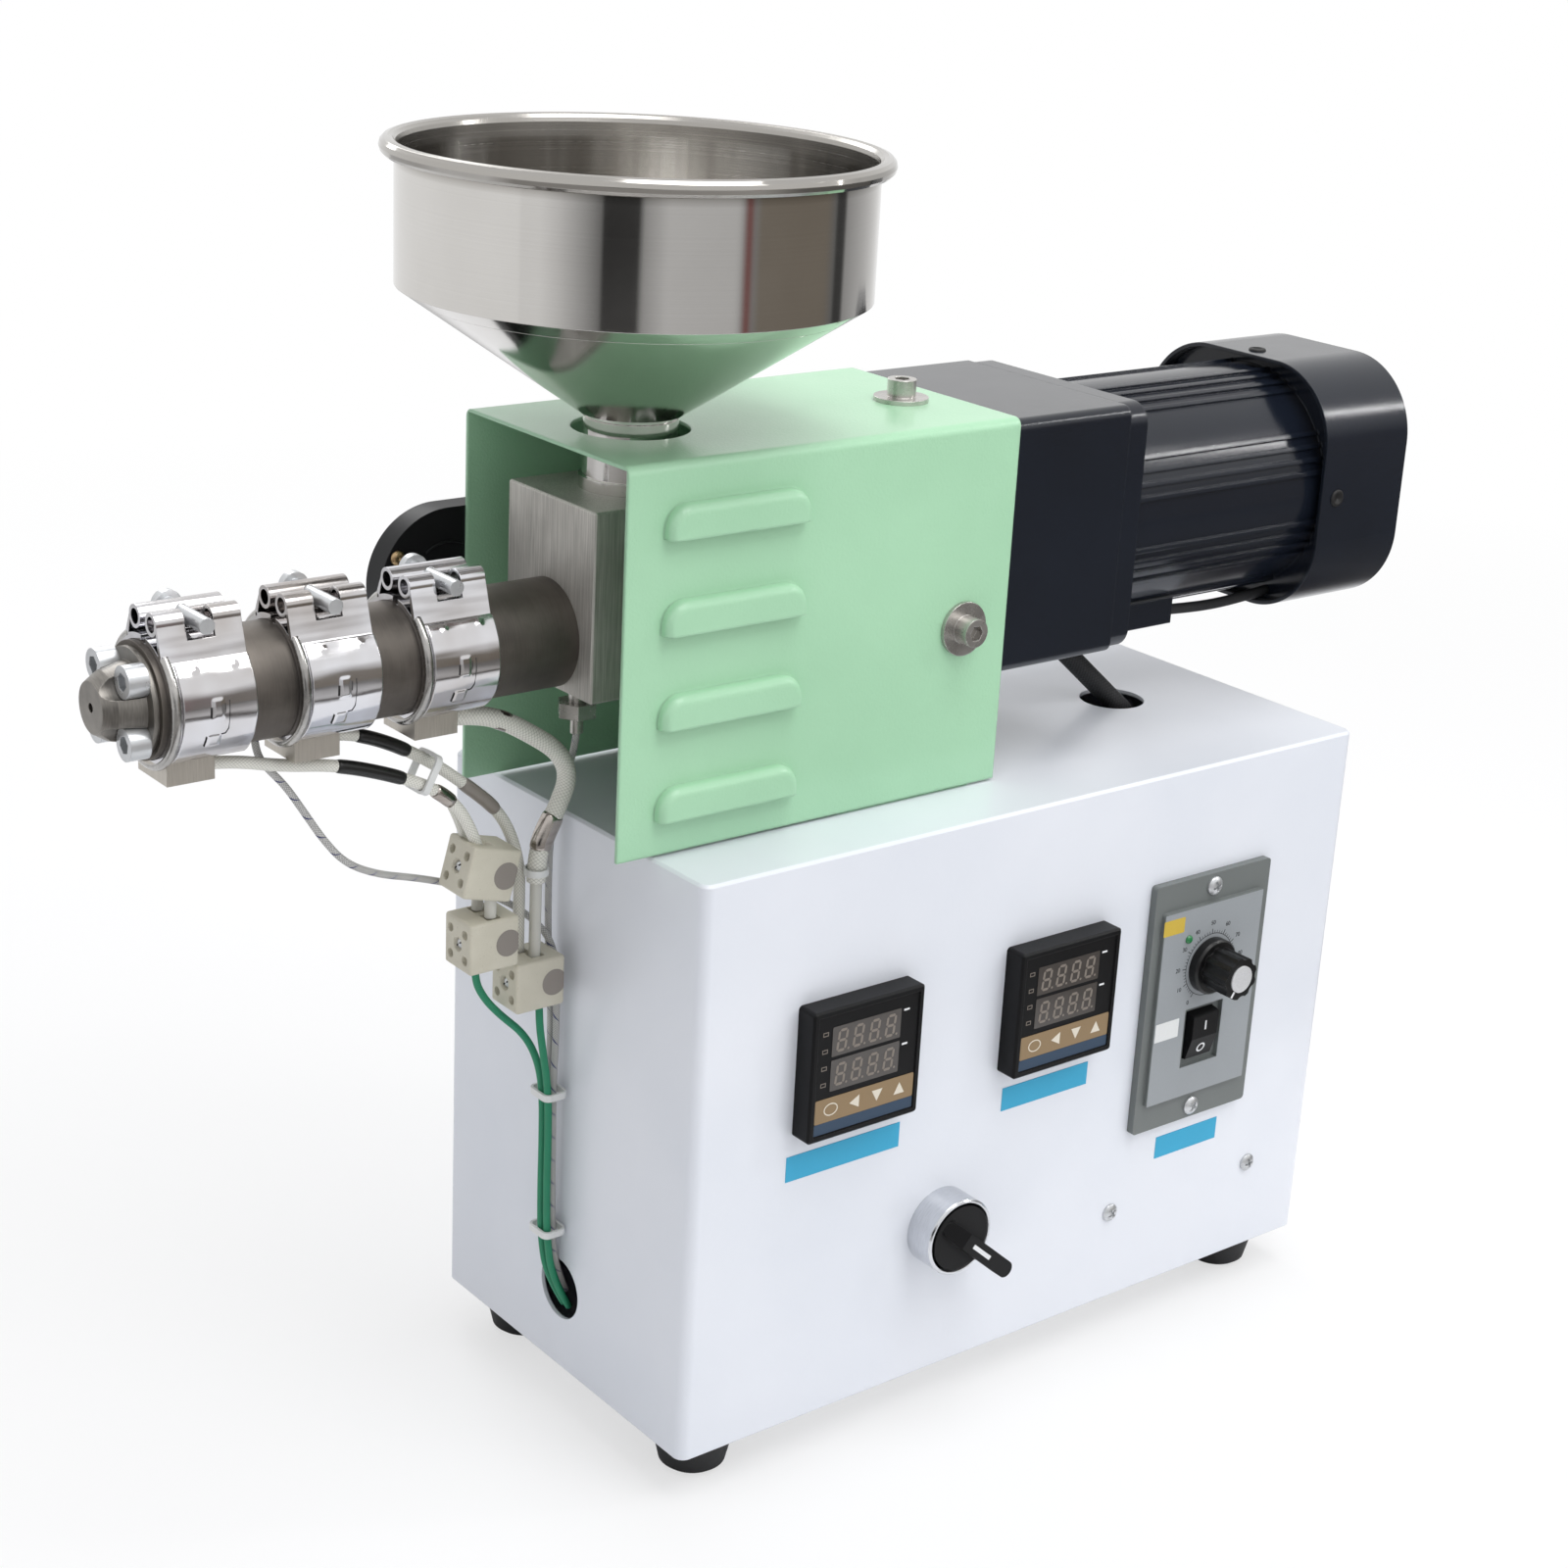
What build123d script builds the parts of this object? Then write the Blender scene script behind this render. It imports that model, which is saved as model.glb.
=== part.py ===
from build123d import *
import os
from math import atan2, cos, degrees, hypot, pi, radians, sin, sqrt, tan

# Benchtop single screw extruder.
# X runs along the screw with the nozzle at -X, the control panel faces -Y and Z = 0 is the
# surface the rubber feet stand on. The origin is under the middle of the whole machine.
# Stations, depths and widths below are measured from the middle of the cabinet. Millimetres.

# Fits
seat_gap = 0.1
slip_gap = 0.3
running_gap = 0.4
bolt_gap = 0.05

# Cabinet and feet
cabinet_length = 306
cabinet_depth = 150
cabinet_height = 211
cabinet_sheet = 1.5
cabinet_bend = 4
cabinet_top_bend = 2
base_sheet = 2
foot_height = 17
foot_top_dia = 31
foot_base_dia = 23
foot_inset = 21
foot_chamfer = 1.5
wire_hole_dia = 23
wire_hole_height = 31
cable_hole_dia = 25
cable_hole_inset = 55

# Control panel: insets from the ends of the cabinet, heights from its underside
meter_size = 48
meter_depth = 8.5
meter_corner = 1.5
meter_rim = 2.2
meter_window_depth = 0.5
meter_neck = 44.6
meter_body_depth = 62
meter_insets = (65, 157.5)
meter_height = 136.5
controller_gap = 22
controller_height = 119
controller_width = 60
controller_length = 100
controller_corner = 1.5
controller_plate = 3
controller_panel_length = 78
controller_panel_rise = 1.6
controller_side = 4
controller_body_width = 48
controller_body_length = 76
controller_body_depth = 40
knob_rise = 14
knob_skirt_dia = 21.6
knob_skirt_height = 4
knob_skirt_chamfer = 0.8
knob_dia = 16.6
knob_height = 16
knob_flutes = 9
knob_flute_dia = 6
knob_flute_depth = 0.9
knob_cap_dia = 10.4
knob_cap_sheet = 0.6
knob_shaft_dia = 6
knob_shaft_length = 10
rocker_drop = 14.5
rocker_width = 13.4
rocker_length = 19
rocker_window_width = 20
rocker_window_length = 24
rocker_recess = 2
rocker_tilt = 8
rocker_crown = 4.2
selector_inset = 111
selector_height = 58.5
selector_ring_dia = 29
selector_ring_depth = 12
selector_ring_chamfer = 0.6
selector_face_dia = 24.6
selector_barrel_dia = 22
selector_barrel_depth = 40
selector_shaft_dia = 8
selector_shaft_length = 10
lever_reach = 28
lever_width = 6.4
lever_rise = 4.5
lever_angle = -41
lever_ridge = 10.5
lever_crest = 1.5
panel_screw_insets = (107.5, 32.5)
panel_screw_height = 37
panel_screw_dia = 7
panel_screw_head = 2
panel_screw_shank = 4
panel_screw_length = 5

# Extruder axis above the cabinet and the pieces along it
axis_rise = 65.5
gear_inset = 136
gear_size = 90
gear_length = 65
gear_edge = 4
gear_offset = 18
bracket_plate = 18
bracket_foot_length = 44
bracket_foot_height = 10
bracket_corner = 5
shaft_dia = 15

# Guard
guard_sheet = 1.2
guard_length = 161
guard_overlap = 11
guard_clear = 0.2
guard_lift = 1
guard_bend = 3
louvre_count = 4
louvre_length = 56
louvre_height = 11
louvre_corner = 8
louvre_bend = 3
louvre_rise = 4.5
louvre_pitch = 31
louvre_inset = 14
louvre_first = 13
guard_bolt_height = 59
top_bolt_depth = -7
washer_dia = 19
washer_thickness = 1.6
bolt_dia = 6
bolt_reach = 10
bolt_head_dia = 10
bolt_head_height = 6
bolt_socket = 5
bolt_socket_depth = 3

# Feed block, screw and bearing housing
block_inset = 3
block_length = 60
block_width = 50
block_below = 18
block_above = 45
block_chamfer = 0.6
throat_dia = 26
screw_dia = 15.4
screw_root = 10
screw_bore = 16.2
screw_pitch = 16
flight_width = 2.6
flight_length = 56
flight_root_bite = 0.5
housing_dia = 48
housing_flange_dia = 66
housing_flange = 10
probe_dia = 6
probe_inset = 12
probe_stem = 7.5
probe_hex = 12
probe_hex_height = 5
probe_tail_dia = 4.4
probe_tail = 6

# Barrel, heater bands and die
barrel_dia = 36
barrel_length = 146
band_count = 3
band_width = 27
band_pitch = 42
band_first = 4
band_thickness = 2
band_split = 3
bead_width = 2.6
bead_rise = 1.2
clamp_offset = -2
clamp_tube_dia = 7.2
clamp_tube_wall = 1.2
clamp_spread = 5.2
clamp_rise = 24.6
clamp_strap = 0.9
clamp_foot = 12
clamp_notch = 9
clamp_screw_dia = 5
clamp_screw_tip = 16
clamp_head_dia = 9
clamp_head = 4
band_box_inset = 2.7
band_box_length = 15.5
band_box_width = 19
band_box_drop = 25
die_flange = 2
die_flange_dia = 33
die_pcd = 27
nozzle_length = 12
nozzle_base_dia = 25
nozzle_dia = 21
nozzle_tip_dia = 16
nozzle_shoulder = 4
nozzle_hole_dia = 3
die_screw_head_dia = 10
die_screw_head = 6.5
die_screw_socket = 5
die_screw_socket_depth = 3

# Hopper
hopper_rim_rise = 154
hopper_dia = 151.5
hopper_sheet = 0.9
hopper_wall_height = 45
hopper_split_drop = 4
rim_bead_dia = 5.6
rim_bead_sides = 12
neck_dia = 31
neck_wall = 1.5
neck_foot_dia = 33
neck_foot_height = 4
neck_rise = 3.6
neck_groove = 1.5
neck_groove_depth = 0.6
cone_foot_dia = 34
hopper_hole_dia = 39

# Motor and fan cover
motor_flange = 8.5
motor_flange_corner = 8
motor_step = 1
motor_length = 108
end_bracket = 8
rib_groups = 8
rib_count = 4
rib_step = 6.5
rib_height = 1
rib_width = 1.8
rib_bite = 0.5
terminal_box_length = 42
terminal_box_width = 52
terminal_box_cover = 2
cover_clear = 2
cover_corner = 30
cover_length = 47
cover_sheet = 1.5
cover_start = 94.5
slot_count = 9
slot_height = 4
slot_pitch = 8
slot_reach = 37
fan_gap = 5.5
fan_dia = 76
fan_disc = 1.6
fan_hub_dia = 24
fan_blade_height = 13
fan_blade_width = 1.6
fan_blade_count = 9
fan_shaft_dia = 12

# Cooling blower behind the guard
blower_dia = 51
blower_thickness = 9.5
blower_overhang = 6.5
blower_rise = 6
blower_outlet = 17
blower_reach = 30
blower_wall = 1.2
blower_outlet_depth = 12
blower_inlet_dia = 31
blower_inlet_depth = 7.6
impeller_gap = 0.7
impeller_hub_dia = 17
impeller_base = 1.2
impeller_vanes = 18
impeller_vane_length = 4.5
impeller_vane_width = 0.8
impeller_height = 6

# Leads
corner_share = 0.45
heater_lead_dia = 4
sleeve_lead_dia = 6.4
probe_lead_dia = 2.4
supply_lead_dia = 2.6
fan_lead_dia = 4
motor_lead_dia = 8
lead_bite = 1
terminal_width = 19
terminal_height = 18
terminal_depth = 16
terminal_corner = 1.5
terminal_lean = 15
link_spread = 4
tie_width = 2.4
tie_wall = 1
tie_corner = 1.5
bundle_room_depth = 9.6
bundle_room_width = 7.4
pair_room_width = 10.2
pair_room_height = 11.7

# Derived places
deck = foot_height + cabinet_height
axis_z = deck + axis_rise
front = -cabinet_depth / 2
left_end = -cabinet_length / 2
right_end = cabinet_length / 2
motor_dia = gear_size - 2 * motor_step
gear_left = left_end + gear_inset
gear_z = axis_z + gear_offset
gear_top = gear_z + gear_size / 2
gear_right = gear_left + gear_length
bracket_left = gear_left - bracket_plate
guard_left = gear_left + guard_overlap - guard_length
guard_inner = gear_size / 2 + guard_clear
guard_half = guard_inner + guard_sheet
guard_top = gear_z + guard_half
guard_bolt_x = gear_left - bracket_plate / 2
guard_bolt_z = deck + guard_bolt_height
louvre_x = guard_left + louvre_inset + louvre_length / 2
block_left = guard_left + block_inset
block_right = block_left + block_length
block_x = block_left + block_length / 2
block_top = axis_z + block_above
block_bottom = axis_z - block_below
die_x = block_left - barrel_length
nozzle_tip = die_x - nozzle_length
flange_right = gear_right + motor_flange
motor_right = flange_right + motor_length
motor_core = motor_dia / 2 - rib_height
cover_size = motor_dia + 2 * (cover_clear + cover_sheet)
cover_left = flange_right + cover_start
cover_right = cover_left + cover_length
hopper_rim_z = axis_z + hopper_rim_rise
hopper_cone_top = hopper_rim_z - hopper_wall_height
hopper_split_z = hopper_cone_top - hopper_split_drop
neck_top = guard_top + neck_rise
cone_foot_z = neck_top + neck_groove
blower_x = guard_left - blower_overhang
blower_z = axis_z + blower_rise
meter_z = foot_height + meter_height
controller_x = left_end + meter_insets[-1] + (meter_size + controller_width) / 2 + controller_gap
controller_z = foot_height + controller_height
controller_face = front - controller_plate - controller_panel_rise
knob_z = controller_z + knob_rise
knob_back = controller_face - slip_gap
rocker_z = controller_z - rocker_drop
rocker_pivot = controller_face + rocker_recess + slip_gap
rocker_shoulder = rocker_length / 2 * tan(radians(rocker_tilt))
selector_x = left_end + selector_inset
selector_z = foot_height + selector_height
selector_front = front - selector_ring_depth
panel_screw_places = [(right_end - inset, foot_height + panel_screw_height) for inset in panel_screw_insets]
cable_hole_x = right_end - cable_hole_inset
band_lefts = [die_x + band_first + number * band_pitch for number in range(band_count)]
band_outer = barrel_dia / 2 + band_thickness
clamp_front = clamp_offset - clamp_spread
clamp_rear = clamp_offset + clamp_spread
clamp_z = axis_z + clamp_rise
clamp_half = clamp_spread + clamp_tube_dia / 2
clamp_foot_rise = sqrt(band_outer ** 2 - (clamp_offset + clamp_foot) ** 2)
strap_lean = (clamp_foot - clamp_half) / (clamp_rise - clamp_foot_rise)
clamp_seat = clamp_offset + clamp_half + clamp_head_dia / 2 * strap_lean
rim_z = hopper_rim_z - rim_bead_dia / 2
rim_reach = hopper_dia / 2 - hopper_sheet + rim_bead_dia
neck_bore = neck_dia - 2 * neck_wall
cone_slope = 2 * (hopper_cone_top - cone_foot_z) / (hopper_dia - cone_foot_dia)
cone_lift = hopper_sheet * (hypot(1, cone_slope) - cone_slope)
cover_inner = cover_size - 2 * cover_sheet
impeller_back = guard_half + blower_thickness - blower_inlet_depth
impeller_dia = blower_inlet_dia - 2 * impeller_gap
knob_front = knob_back - knob_height - knob_cap_sheet

lead_z = axis_z - (band_outer + band_box_drop) / 2
box_rights = [band_left + band_box_inset + band_box_length for band_left in band_lefts]
first_box, second_box, third_box = box_rights
upper_terminal = (left_end - 35.6, axis_z - 77.1)
lower_terminal = (left_end - 34.5, axis_z - 102.5)
rear_terminal = (left_end - 16, axis_z - 120.9)
rear_terminal_top = rear_terminal[1] + terminal_height / 2
rear_terminal_foot = rear_terminal[1] - terminal_height / 2
lower_terminal_top = lower_terminal[1] + terminal_height / 2
lower_terminal_foot = lower_terminal[1] - terminal_height / 2
box_end = flange_right + terminal_box_length
bracket_face = motor_right - end_bracket
wire_hole_z = foot_height + wire_hole_height
probe_foot = block_bottom - probe_stem - probe_hex_height - probe_tail
probe_x = block_left + probe_inset

# The middle of the cabinet, seen from the middle of the machine's whole extent
middle_x = -(nozzle_tip + cover_right) / 2
middle_y = -(knob_front + rim_reach) / 2

os.makedirs("parts", exist_ok=True)


def save(part, name):
    part.label = name
    export_step(part, f"parts/{name}.step")


def across(x):
    """A section at station x, looking along the screw: its x is the width, its y is the height."""
    return Plane(origin=(middle_x + x, middle_y, 0), x_dir=(0, 1, 0), z_dir=(1, 0, 0))


def facing(y):
    """A plane at depth y that looks out of the control panel: its x is the station, its y the height."""
    return Plane(origin=(middle_x, middle_y + y, 0), x_dir=(1, 0, 0), z_dir=(0, -1, 0))


def level(z):
    """A level plane at height z: its x is the station, its y is the depth."""
    return Plane(origin=(middle_x, middle_y, z), x_dir=(1, 0, 0), z_dir=(0, 0, 1))


screw_axis = Axis((middle_x, middle_y, axis_z), (1, 0, 0))
hopper_axis = Axis((middle_x + block_x, middle_y, 0), (0, 0, 1))

# Cabinet
with BuildPart() as cabinet_shell:
    with BuildSketch(level(foot_height)):
        RectangleRounded(cabinet_length, cabinet_depth, cabinet_bend)
    extrude(amount=cabinet_height)
    chamfer(cabinet_shell.faces().sort_by(Axis.Z)[-1].edges(), cabinet_top_bend / 2)
    with BuildSketch(level(foot_height)):
        RectangleRounded(cabinet_length - 2 * cabinet_sheet, cabinet_depth - 2 * cabinet_sheet,
                         cabinet_bend - cabinet_sheet)
    extrude(amount=cabinet_height - cabinet_sheet, mode=Mode.SUBTRACT)
    with BuildSketch(facing(front)):
        with Locations(*[(left_end + inset, meter_z) for inset in meter_insets]):
            Rectangle(meter_neck + 2 * slip_gap, meter_neck + 2 * slip_gap)
        with Locations((controller_x, controller_z)):
            Rectangle(controller_body_width + 2 * slip_gap, controller_body_length + 2 * slip_gap)
        with Locations((selector_x, selector_z)):
            Circle(selector_barrel_dia / 2 + slip_gap)
        with Locations(*panel_screw_places):
            Circle(panel_screw_shank / 2 + bolt_gap)
    extrude(amount=-cabinet_sheet, mode=Mode.SUBTRACT)
    with BuildSketch(across(left_end)):
        with Locations((0, foot_height + wire_hole_height)):
            Circle(wire_hole_dia / 2)
    extrude(amount=cabinet_sheet, mode=Mode.SUBTRACT)
    with BuildSketch(level(deck)):
        with Locations((cable_hole_x, 0)):
            Circle(cable_hole_dia / 2)
    extrude(amount=-cabinet_sheet, mode=Mode.SUBTRACT)
save(cabinet_shell.part, "cabinet_shell")

with BuildPart() as cabinet_base:
    with BuildSketch(level(foot_height)):
        RectangleRounded(cabinet_length - 2 * (cabinet_sheet + seat_gap),
                         cabinet_depth - 2 * (cabinet_sheet + seat_gap),
                         cabinet_bend - cabinet_sheet - seat_gap)
    extrude(amount=base_sheet)
save(cabinet_base.part, "cabinet_base")

with BuildPart() as rubber_feet:
    with BuildSketch(level(foot_height)):
        with GridLocations(cabinet_length - 2 * foot_inset, cabinet_depth - 2 * foot_inset, 2, 2):
            Circle(foot_top_dia / 2)
    extrude(amount=-foot_height, taper=degrees(atan2(foot_top_dia - foot_base_dia, 2 * foot_height)))
    chamfer(rubber_feet.faces().group_by(Axis.Z)[0].edges(), foot_chamfer)
save(rubber_feet.part, "rubber_feet")

# Bracket that carries the gear head and everything in front of it
with BuildPart() as gear_bracket:
    with BuildSketch(across(bracket_left)):
        with Locations((0, deck)):
            Rectangle(gear_size, gear_top - deck, align=(Align.CENTER, Align.MIN))
    extrude(amount=bracket_plate)
    with BuildSketch(level(deck)):
        with Locations((bracket_left, 0)):
            Rectangle(bracket_foot_length, gear_size, align=(Align.MAX, Align.CENTER))
    extrude(amount=bracket_foot_height)
    chamfer(gear_bracket.edges().filter_by(Axis.Z).group_by(Axis.X)[0], bracket_corner)
    with BuildSketch(across(bracket_left)):
        with Locations((0, axis_z)):
            Circle(shaft_dia / 2 + running_gap)
    extrude(amount=bracket_plate, mode=Mode.SUBTRACT)
    with BuildSketch(facing(-gear_size / 2)):
        with Locations((guard_bolt_x, guard_bolt_z)):
            Circle(bolt_dia / 2 + bolt_gap)
    extrude(amount=-bolt_reach, mode=Mode.SUBTRACT)
    with BuildSketch(facing(gear_size / 2)):
        with Locations((guard_bolt_x, guard_bolt_z)):
            Circle(bolt_dia / 2 + bolt_gap)
    extrude(amount=bolt_reach, mode=Mode.SUBTRACT)
    with BuildSketch(level(gear_top)):
        with Locations((guard_bolt_x, top_bolt_depth)):
            Circle(bolt_dia / 2 + bolt_gap)
    extrude(amount=-bolt_reach, mode=Mode.SUBTRACT)
save(gear_bracket.part, "gear_bracket")

# Guard: an inverted channel whose front wall has pressed louvres, open along their lower edges
with BuildPart() as guard_cover:
    with BuildSketch(across(guard_left)):
        with Locations((0, deck + guard_lift)):
            Rectangle(2 * guard_half, guard_top - deck - guard_lift, align=(Align.CENTER, Align.MIN))
    extrude(amount=guard_length)
    fillet(guard_cover.edges().filter_by(Axis.X).group_by(Axis.Z)[-1], guard_bend)
    for number in range(louvre_count):
        louvre_z = deck + louvre_first + number * louvre_pitch
        with BuildSketch(facing(-guard_half)) as louvre_outline:
            with Locations((louvre_x, louvre_z)):
                Rectangle(louvre_length, louvre_height, align=(Align.CENTER, Align.MIN))
            fillet(louvre_outline.vertices().group_by(Axis.Y)[-1], louvre_corner)
        extrude(amount=louvre_rise)
    hoods = guard_cover.faces().group_by(Axis.Y)[0]
    fillet([edge for hood in hoods for edge in hood.edges().sort_by(Axis.Z)[1:]], louvre_bend)
    for number in range(louvre_count):
        louvre_z = deck + louvre_first + number * louvre_pitch
        with BuildSketch(facing(guard_sheet - guard_half)) as louvre_hollow:
            with Locations((louvre_x, louvre_z)):
                Rectangle(louvre_length - 2 * guard_sheet, louvre_height - guard_sheet,
                          align=(Align.CENTER, Align.MIN))
            fillet(louvre_hollow.vertices().group_by(Axis.Y)[-1], louvre_corner - guard_sheet)
        extrude(amount=louvre_rise, mode=Mode.SUBTRACT)
    with BuildSketch(across(guard_left)):
        with Locations((0, deck + guard_lift)):
            Rectangle(2 * guard_inner, gear_top + guard_clear - deck - guard_lift,
                      align=(Align.CENTER, Align.MIN))
    extrude(amount=guard_length, mode=Mode.SUBTRACT)
    with BuildSketch(level(guard_top)):
        with Locations((block_x, 0)):
            Circle(hopper_hole_dia / 2)
        with Locations((guard_bolt_x, top_bolt_depth)):
            Circle(bolt_dia / 2 + slip_gap)
    extrude(amount=-guard_sheet, mode=Mode.SUBTRACT)
    with BuildSketch(facing(-guard_half)):
        with Locations((guard_bolt_x, guard_bolt_z)):
            Circle(bolt_dia / 2 + slip_gap)
    extrude(amount=-2 * guard_half, mode=Mode.SUBTRACT)
save(guard_cover.part, "guard_cover")

with BuildPart() as guard_bolts:
    for plane, place in ((facing(-guard_half), (guard_bolt_x, guard_bolt_z)),
                         (level(guard_top), (guard_bolt_x, top_bolt_depth))):
        with BuildSketch(plane):
            with Locations(place):
                Circle(washer_dia / 2)
        extrude(amount=washer_thickness)
        with BuildSketch(plane):
            with Locations(place):
                Circle(bolt_head_dia / 2)
        extrude(amount=washer_thickness + bolt_head_height)
        with BuildSketch(plane):
            with Locations(place):
                Circle(bolt_dia / 2)
        extrude(amount=-bolt_reach)
        with BuildSketch(plane.offset(washer_thickness + bolt_head_height)):
            with Locations(place):
                RegularPolygon(bolt_socket / 2, 6, major_radius=False)
        extrude(amount=-bolt_socket_depth, mode=Mode.SUBTRACT)
        if place[1] == guard_bolt_z:
            mirror(about=facing(0))
save(guard_bolts.part, "guard_bolts")

# Feed block with its throat and screw bore
with BuildPart() as feed_block:
    with BuildSketch(across(block_left)):
        with Locations((0, block_bottom)):
            Rectangle(block_width, block_below + block_above, align=(Align.CENTER, Align.MIN))
    extrude(amount=block_length)
    chamfer(feed_block.edges(), block_chamfer)
    with BuildSketch(across(block_left)):
        with Locations((0, axis_z)):
            Circle(screw_bore / 2)
    extrude(amount=block_length, mode=Mode.SUBTRACT)
    with BuildSketch(level(block_top)):
        with Locations((block_x, 0)):
            Circle(throat_dia / 2)
    extrude(amount=-block_above, mode=Mode.SUBTRACT)
save(feed_block.part, "feed_block")

# The flight is swept along a helix that starts at the barrel
with BuildPart() as feed_screw:
    with BuildSketch(across(block_left)):
        with Locations((0, axis_z)):
            Circle(screw_root / 2)
    extrude(amount=block_length)
    flight_height = (screw_dia - screw_root) / 2 + flight_root_bite
    with BuildLine() as flight_path:
        Helix(screw_pitch, flight_length, (screw_dia - flight_height) / 2,
              center=(middle_x + block_left + flight_width, middle_y, axis_z), direction=(1, 0, 0))
    with BuildSketch(Plane(origin=flight_path.line @ 0, x_dir=(1, 0, 0), z_dir=flight_path.line % 0)):
        Rectangle(flight_width, flight_height)
    sweep(path=flight_path.line, is_frenet=True)
    with BuildSketch(across(block_right)):
        with Locations((0, axis_z)):
            Circle(shaft_dia / 2)
    extrude(amount=gear_left - block_right)
save(feed_screw.part, "feed_screw")

with BuildPart() as bearing_housing:
    with BuildSketch(across(block_right)):
        with Locations((0, axis_z)):
            Circle(housing_dia / 2)
    extrude(amount=bracket_left - block_right)
    with BuildSketch(across(bracket_left)):
        with Locations((0, axis_z)):
            Circle(housing_flange_dia / 2)
    extrude(amount=-housing_flange)
    with BuildSketch(across(block_right)):
        with Locations((0, axis_z)):
            Circle(shaft_dia / 2 + running_gap)
    extrude(amount=bracket_left - block_right, mode=Mode.SUBTRACT)
save(bearing_housing.part, "bearing_housing")

with BuildPart() as block_probe:
    with BuildSketch(level(block_bottom)):
        with Locations((block_left + probe_inset, 0)):
            Circle(probe_dia / 2)
    extrude(amount=-probe_stem)
    with BuildSketch(level(block_bottom - probe_stem)):
        with Locations((block_left + probe_inset, 0)):
            RegularPolygon(probe_hex / 2, 6, major_radius=False)
    extrude(amount=-probe_hex_height)
    with BuildSketch(level(block_bottom - probe_stem - probe_hex_height)):
        with Locations((block_left + probe_inset, 0)):
            Circle(probe_tail_dia / 2)
    extrude(amount=-probe_tail)
save(block_probe.part, "block_probe")

# Barrel and die
with BuildPart() as barrel:
    with BuildSketch(across(die_x + die_flange)):
        with Locations((0, axis_z)):
            Circle(barrel_dia / 2)
    extrude(amount=barrel_length - die_flange)
save(barrel.part, "barrel")

with BuildPart() as nozzle:
    with BuildSketch(facing(0)):
        with BuildLine():
            Polyline((die_x + die_flange, axis_z), (die_x + die_flange, axis_z + die_flange_dia / 2),
                     (die_x, axis_z + die_flange_dia / 2), (die_x, axis_z + nozzle_base_dia / 2),
                     (nozzle_tip + nozzle_shoulder, axis_z + nozzle_dia / 2),
                     (nozzle_tip, axis_z + nozzle_tip_dia / 2), (nozzle_tip, axis_z), close=True)
        make_face()
    revolve(axis=screw_axis)
    with BuildSketch(across(die_x)):
        with Locations((0, axis_z)):
            with PolarLocations(die_pcd / 2, 4, start_angle=45):
                Circle(die_screw_head_dia / 2 + slip_gap)
            Circle(nozzle_hole_dia / 2)
    extrude(amount=-nozzle_length, mode=Mode.SUBTRACT)
save(nozzle.part, "nozzle")

with BuildPart() as die_screws:
    with BuildSketch(across(die_x)):
        with Locations((0, axis_z)):
            with PolarLocations(die_pcd / 2, 4, start_angle=45):
                Circle(die_screw_head_dia / 2)
    extrude(amount=-die_screw_head)
    with BuildSketch(across(die_x - die_screw_head)):
        with Locations((0, axis_z)):
            with PolarLocations(die_pcd / 2, 4, start_angle=45):
                RegularPolygon(die_screw_socket / 2, 6, major_radius=False)
    extrude(amount=die_screw_socket_depth, mode=Mode.SUBTRACT)
save(die_screws.part, "die_screws")

# Heater bands: a split sheet ring with a front bead, two rolled clamp tubes on straps and a
# terminal box below. The front tube is notched round the clamp screw, the rear one is drilled.
with BuildPart() as clamp_screws:
    for band_left in band_lefts:
        with BuildSketch(facing(-clamp_screw_tip)):
            with Locations((band_left + band_width / 2, clamp_z)):
                Circle(clamp_screw_dia / 2)
        extrude(amount=-clamp_screw_tip - clamp_seat)
        with BuildSketch(facing(clamp_seat)):
            with Locations((band_left + band_width / 2, clamp_z)):
                Circle(clamp_head_dia / 2)
        extrude(amount=-clamp_head)
    chamfer(clamp_screws.faces().group_by(Axis.Y)[-1].edges(), clamp_head / 3)
save(clamp_screws.part, "clamp_screws")

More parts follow.
